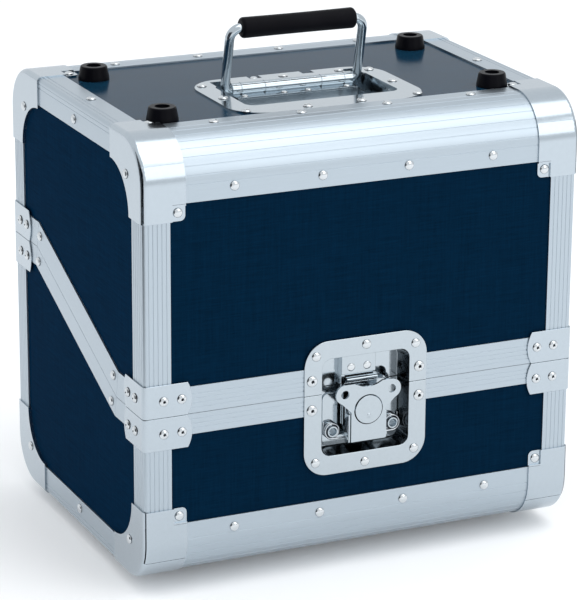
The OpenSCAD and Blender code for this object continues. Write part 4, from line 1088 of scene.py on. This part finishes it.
@dataclass
class Studio:
    """Floor, lights and the camera at the photograph's place."""

    camera_place: Vector = field(default_factory=lambda: Vector((-957.97, -2093.01, 917.37)) * MM)
    yaw: float = math.radians(24.73)
    pitch: float = math.radians(17.85)
    roll: float = math.radians(0.41)
    focal_pixels: float = 2992.9
    picture_height: float = 600.0
    sensor: float = 36.0

    def camera(self) -> None:
        """Makes the camera."""
        data = bpy.data.cameras.new("camera")
        data.sensor_fit = "AUTO"
        data.sensor_width = self.sensor
        data.lens = self.focal_pixels * self.sensor / self.picture_height
        data.clip_end = 50
        flat = math.cos(self.pitch)
        ahead = Vector((math.sin(self.yaw) * flat, math.cos(self.yaw) * flat, -math.sin(self.pitch)))
        level = Vector((math.cos(self.yaw), -math.sin(self.yaw), 0))
        above = level.cross(ahead)
        right = level * math.cos(self.roll) + above * math.sin(self.roll)
        up = above * math.cos(self.roll) - level * math.sin(self.roll)
        made = bpy.data.objects.new("camera", data)
        turned = Matrix((right, up, -ahead)).transposed().to_4x4()
        made.matrix_world = Matrix.Translation(self.camera_place) @ turned
        bpy.context.scene.collection.objects.link(made)
        bpy.context.scene.camera = made

    def floor(self) -> None:
        """Makes the pale floor."""
        reach = 6.0
        corners_at = [(-reach, -reach, 0), (reach, -reach, 0), (reach, reach, 0), (-reach, reach, 0)]
        paint = bpy.data.materials.new("pale_floor")
        paint.use_nodes = True
        shader = paint.node_tree.nodes["Principled BSDF"]
        shader.inputs["Base Color"].default_value = (0.93, 0.935, 0.94, 1)
        shader.inputs["Emission Color"].default_value = (1.0, 1.0, 1.0, 1)
        shader.inputs["Emission Strength"].default_value = 0.10
        shader.inputs["Roughness"].default_value = 0.8
        shader.inputs["Specular IOR Level"].default_value = 0.1
        self.sheet("floor", corners_at, paint)

    def sheet(self, name: str, places: Sequence[Sequence[float]],
              paint: bpy.types.Material) -> bpy.types.Object:
        """Adds a flat four-cornered piece of the stage and returns it."""
        mesh = bpy.data.meshes.new(name)
        mesh.from_pydata(places, [], [(0, 1, 2, 3)])
        mesh.materials.append(paint)
        made = add_object(name, mesh)
        return made

    def card(self, name: str, first: tuple[float, float], last: tuple[float, float], high: float,
             shade: tuple[float, float, float]) -> None:
        """Stands an upright card that shows only in reflections, as dark cards do beside bright metal.

        Args:
            name: the card's name.
            first: one lower corner on the floor.
            last: the other lower corner.
            high: the card's height.
            shade: what it sends back.
        """
        paint = bpy.data.materials.new(name)
        paint.use_nodes = True
        paint.node_tree.nodes.clear()
        graph = Graph(paint.node_tree)
        glow = graph.node("ShaderNodeEmission", Color=(*shade, 1.0), Strength=1.0)
        output = graph.node("ShaderNodeOutputMaterial")
        graph.feed(output.inputs["Surface"], glow.outputs["Emission"])
        low = 0.002
        made = self.sheet(name, [(*first, low), (*last, low), (*last, high), (*first, high)], paint)
        made.visible_camera = made.visible_diffuse = made.visible_shadow = False

    def lamp(self, name: str, place: Vector, aim: Vector, size: tuple[float, float], glow: float) -> None:
        """Adds a soft rectangular lamp.

        Args:
            name: the lamp's name.
            place: where it stands.
            aim: the point that it faces.
            size: its width and height.
            glow: how bright its face is, where 1 is white paper.
        """
        data = bpy.data.lights.new(name, "AREA")
        data.shape = "RECTANGLE"
        data.size, data.size_y = size
        data.energy = glow * math.pi * size[0] * size[1]
        made = bpy.data.objects.new(name, data)
        made.location = place
        made.rotation_mode = "QUATERNION"
        made.rotation_quaternion = (aim - place).to_track_quat("-Z", "Y")
        made.visible_camera = False
        bpy.context.scene.collection.objects.link(made)

    def sky(self) -> None:
        """Gives the studio a soft pale surround."""
        world = bpy.data.worlds.new("studio")
        bpy.context.scene.world = world
        world.use_nodes = True
        world.node_tree.nodes.clear()
        graph = Graph(world.node_tree)
        glow = graph.node("ShaderNodeBackground", Color=(0.95, 0.975, 1.0, 1.0), Strength=1.0)
        output = graph.node("ShaderNodeOutputWorld")
        graph.feed(output.inputs["Surface"], glow.outputs["Background"])

    def build(self) -> None:
        """Sets up the studio."""
        self.camera()
        self.floor()
        self.sky()
        aim = Vector((0, 0, 0.2))
        self.lamp("overhead", Vector((0.6, -0.8, 2.4)), Vector((0.3, -0.5, 0.2)), (2.0, 2.2), 1.6)
        self.lamp("front", Vector((1.3, -2.5, 1.4)), aim, (1.6, 1.6), 1.3)
        self.card("dark_card_left", (-0.75, -1.1), (-0.75, 0.05), 0.75, (0.06, 0.065, 0.072))
        bpy.context.scene.view_settings.view_transform = "Standard"
        LOG.info("studio is ready")


def main() -> None:
    """Builds every sub-assembly in order."""
    logging.basicConfig(level=logging.INFO, format="%(name)s: %(message)s")
    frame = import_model()
    nodes = frame["nodes"]
    edges = SoftEdges(nodes)
    Studio().build()
    Shell(nodes, edges).build()
    Fittings(edges).build()
    Rivets(nodes).build()
    CarryHandle().build()
    LatchSprings().build()
    Linings(edges).build()


if __name__ == "__main__":
    main()
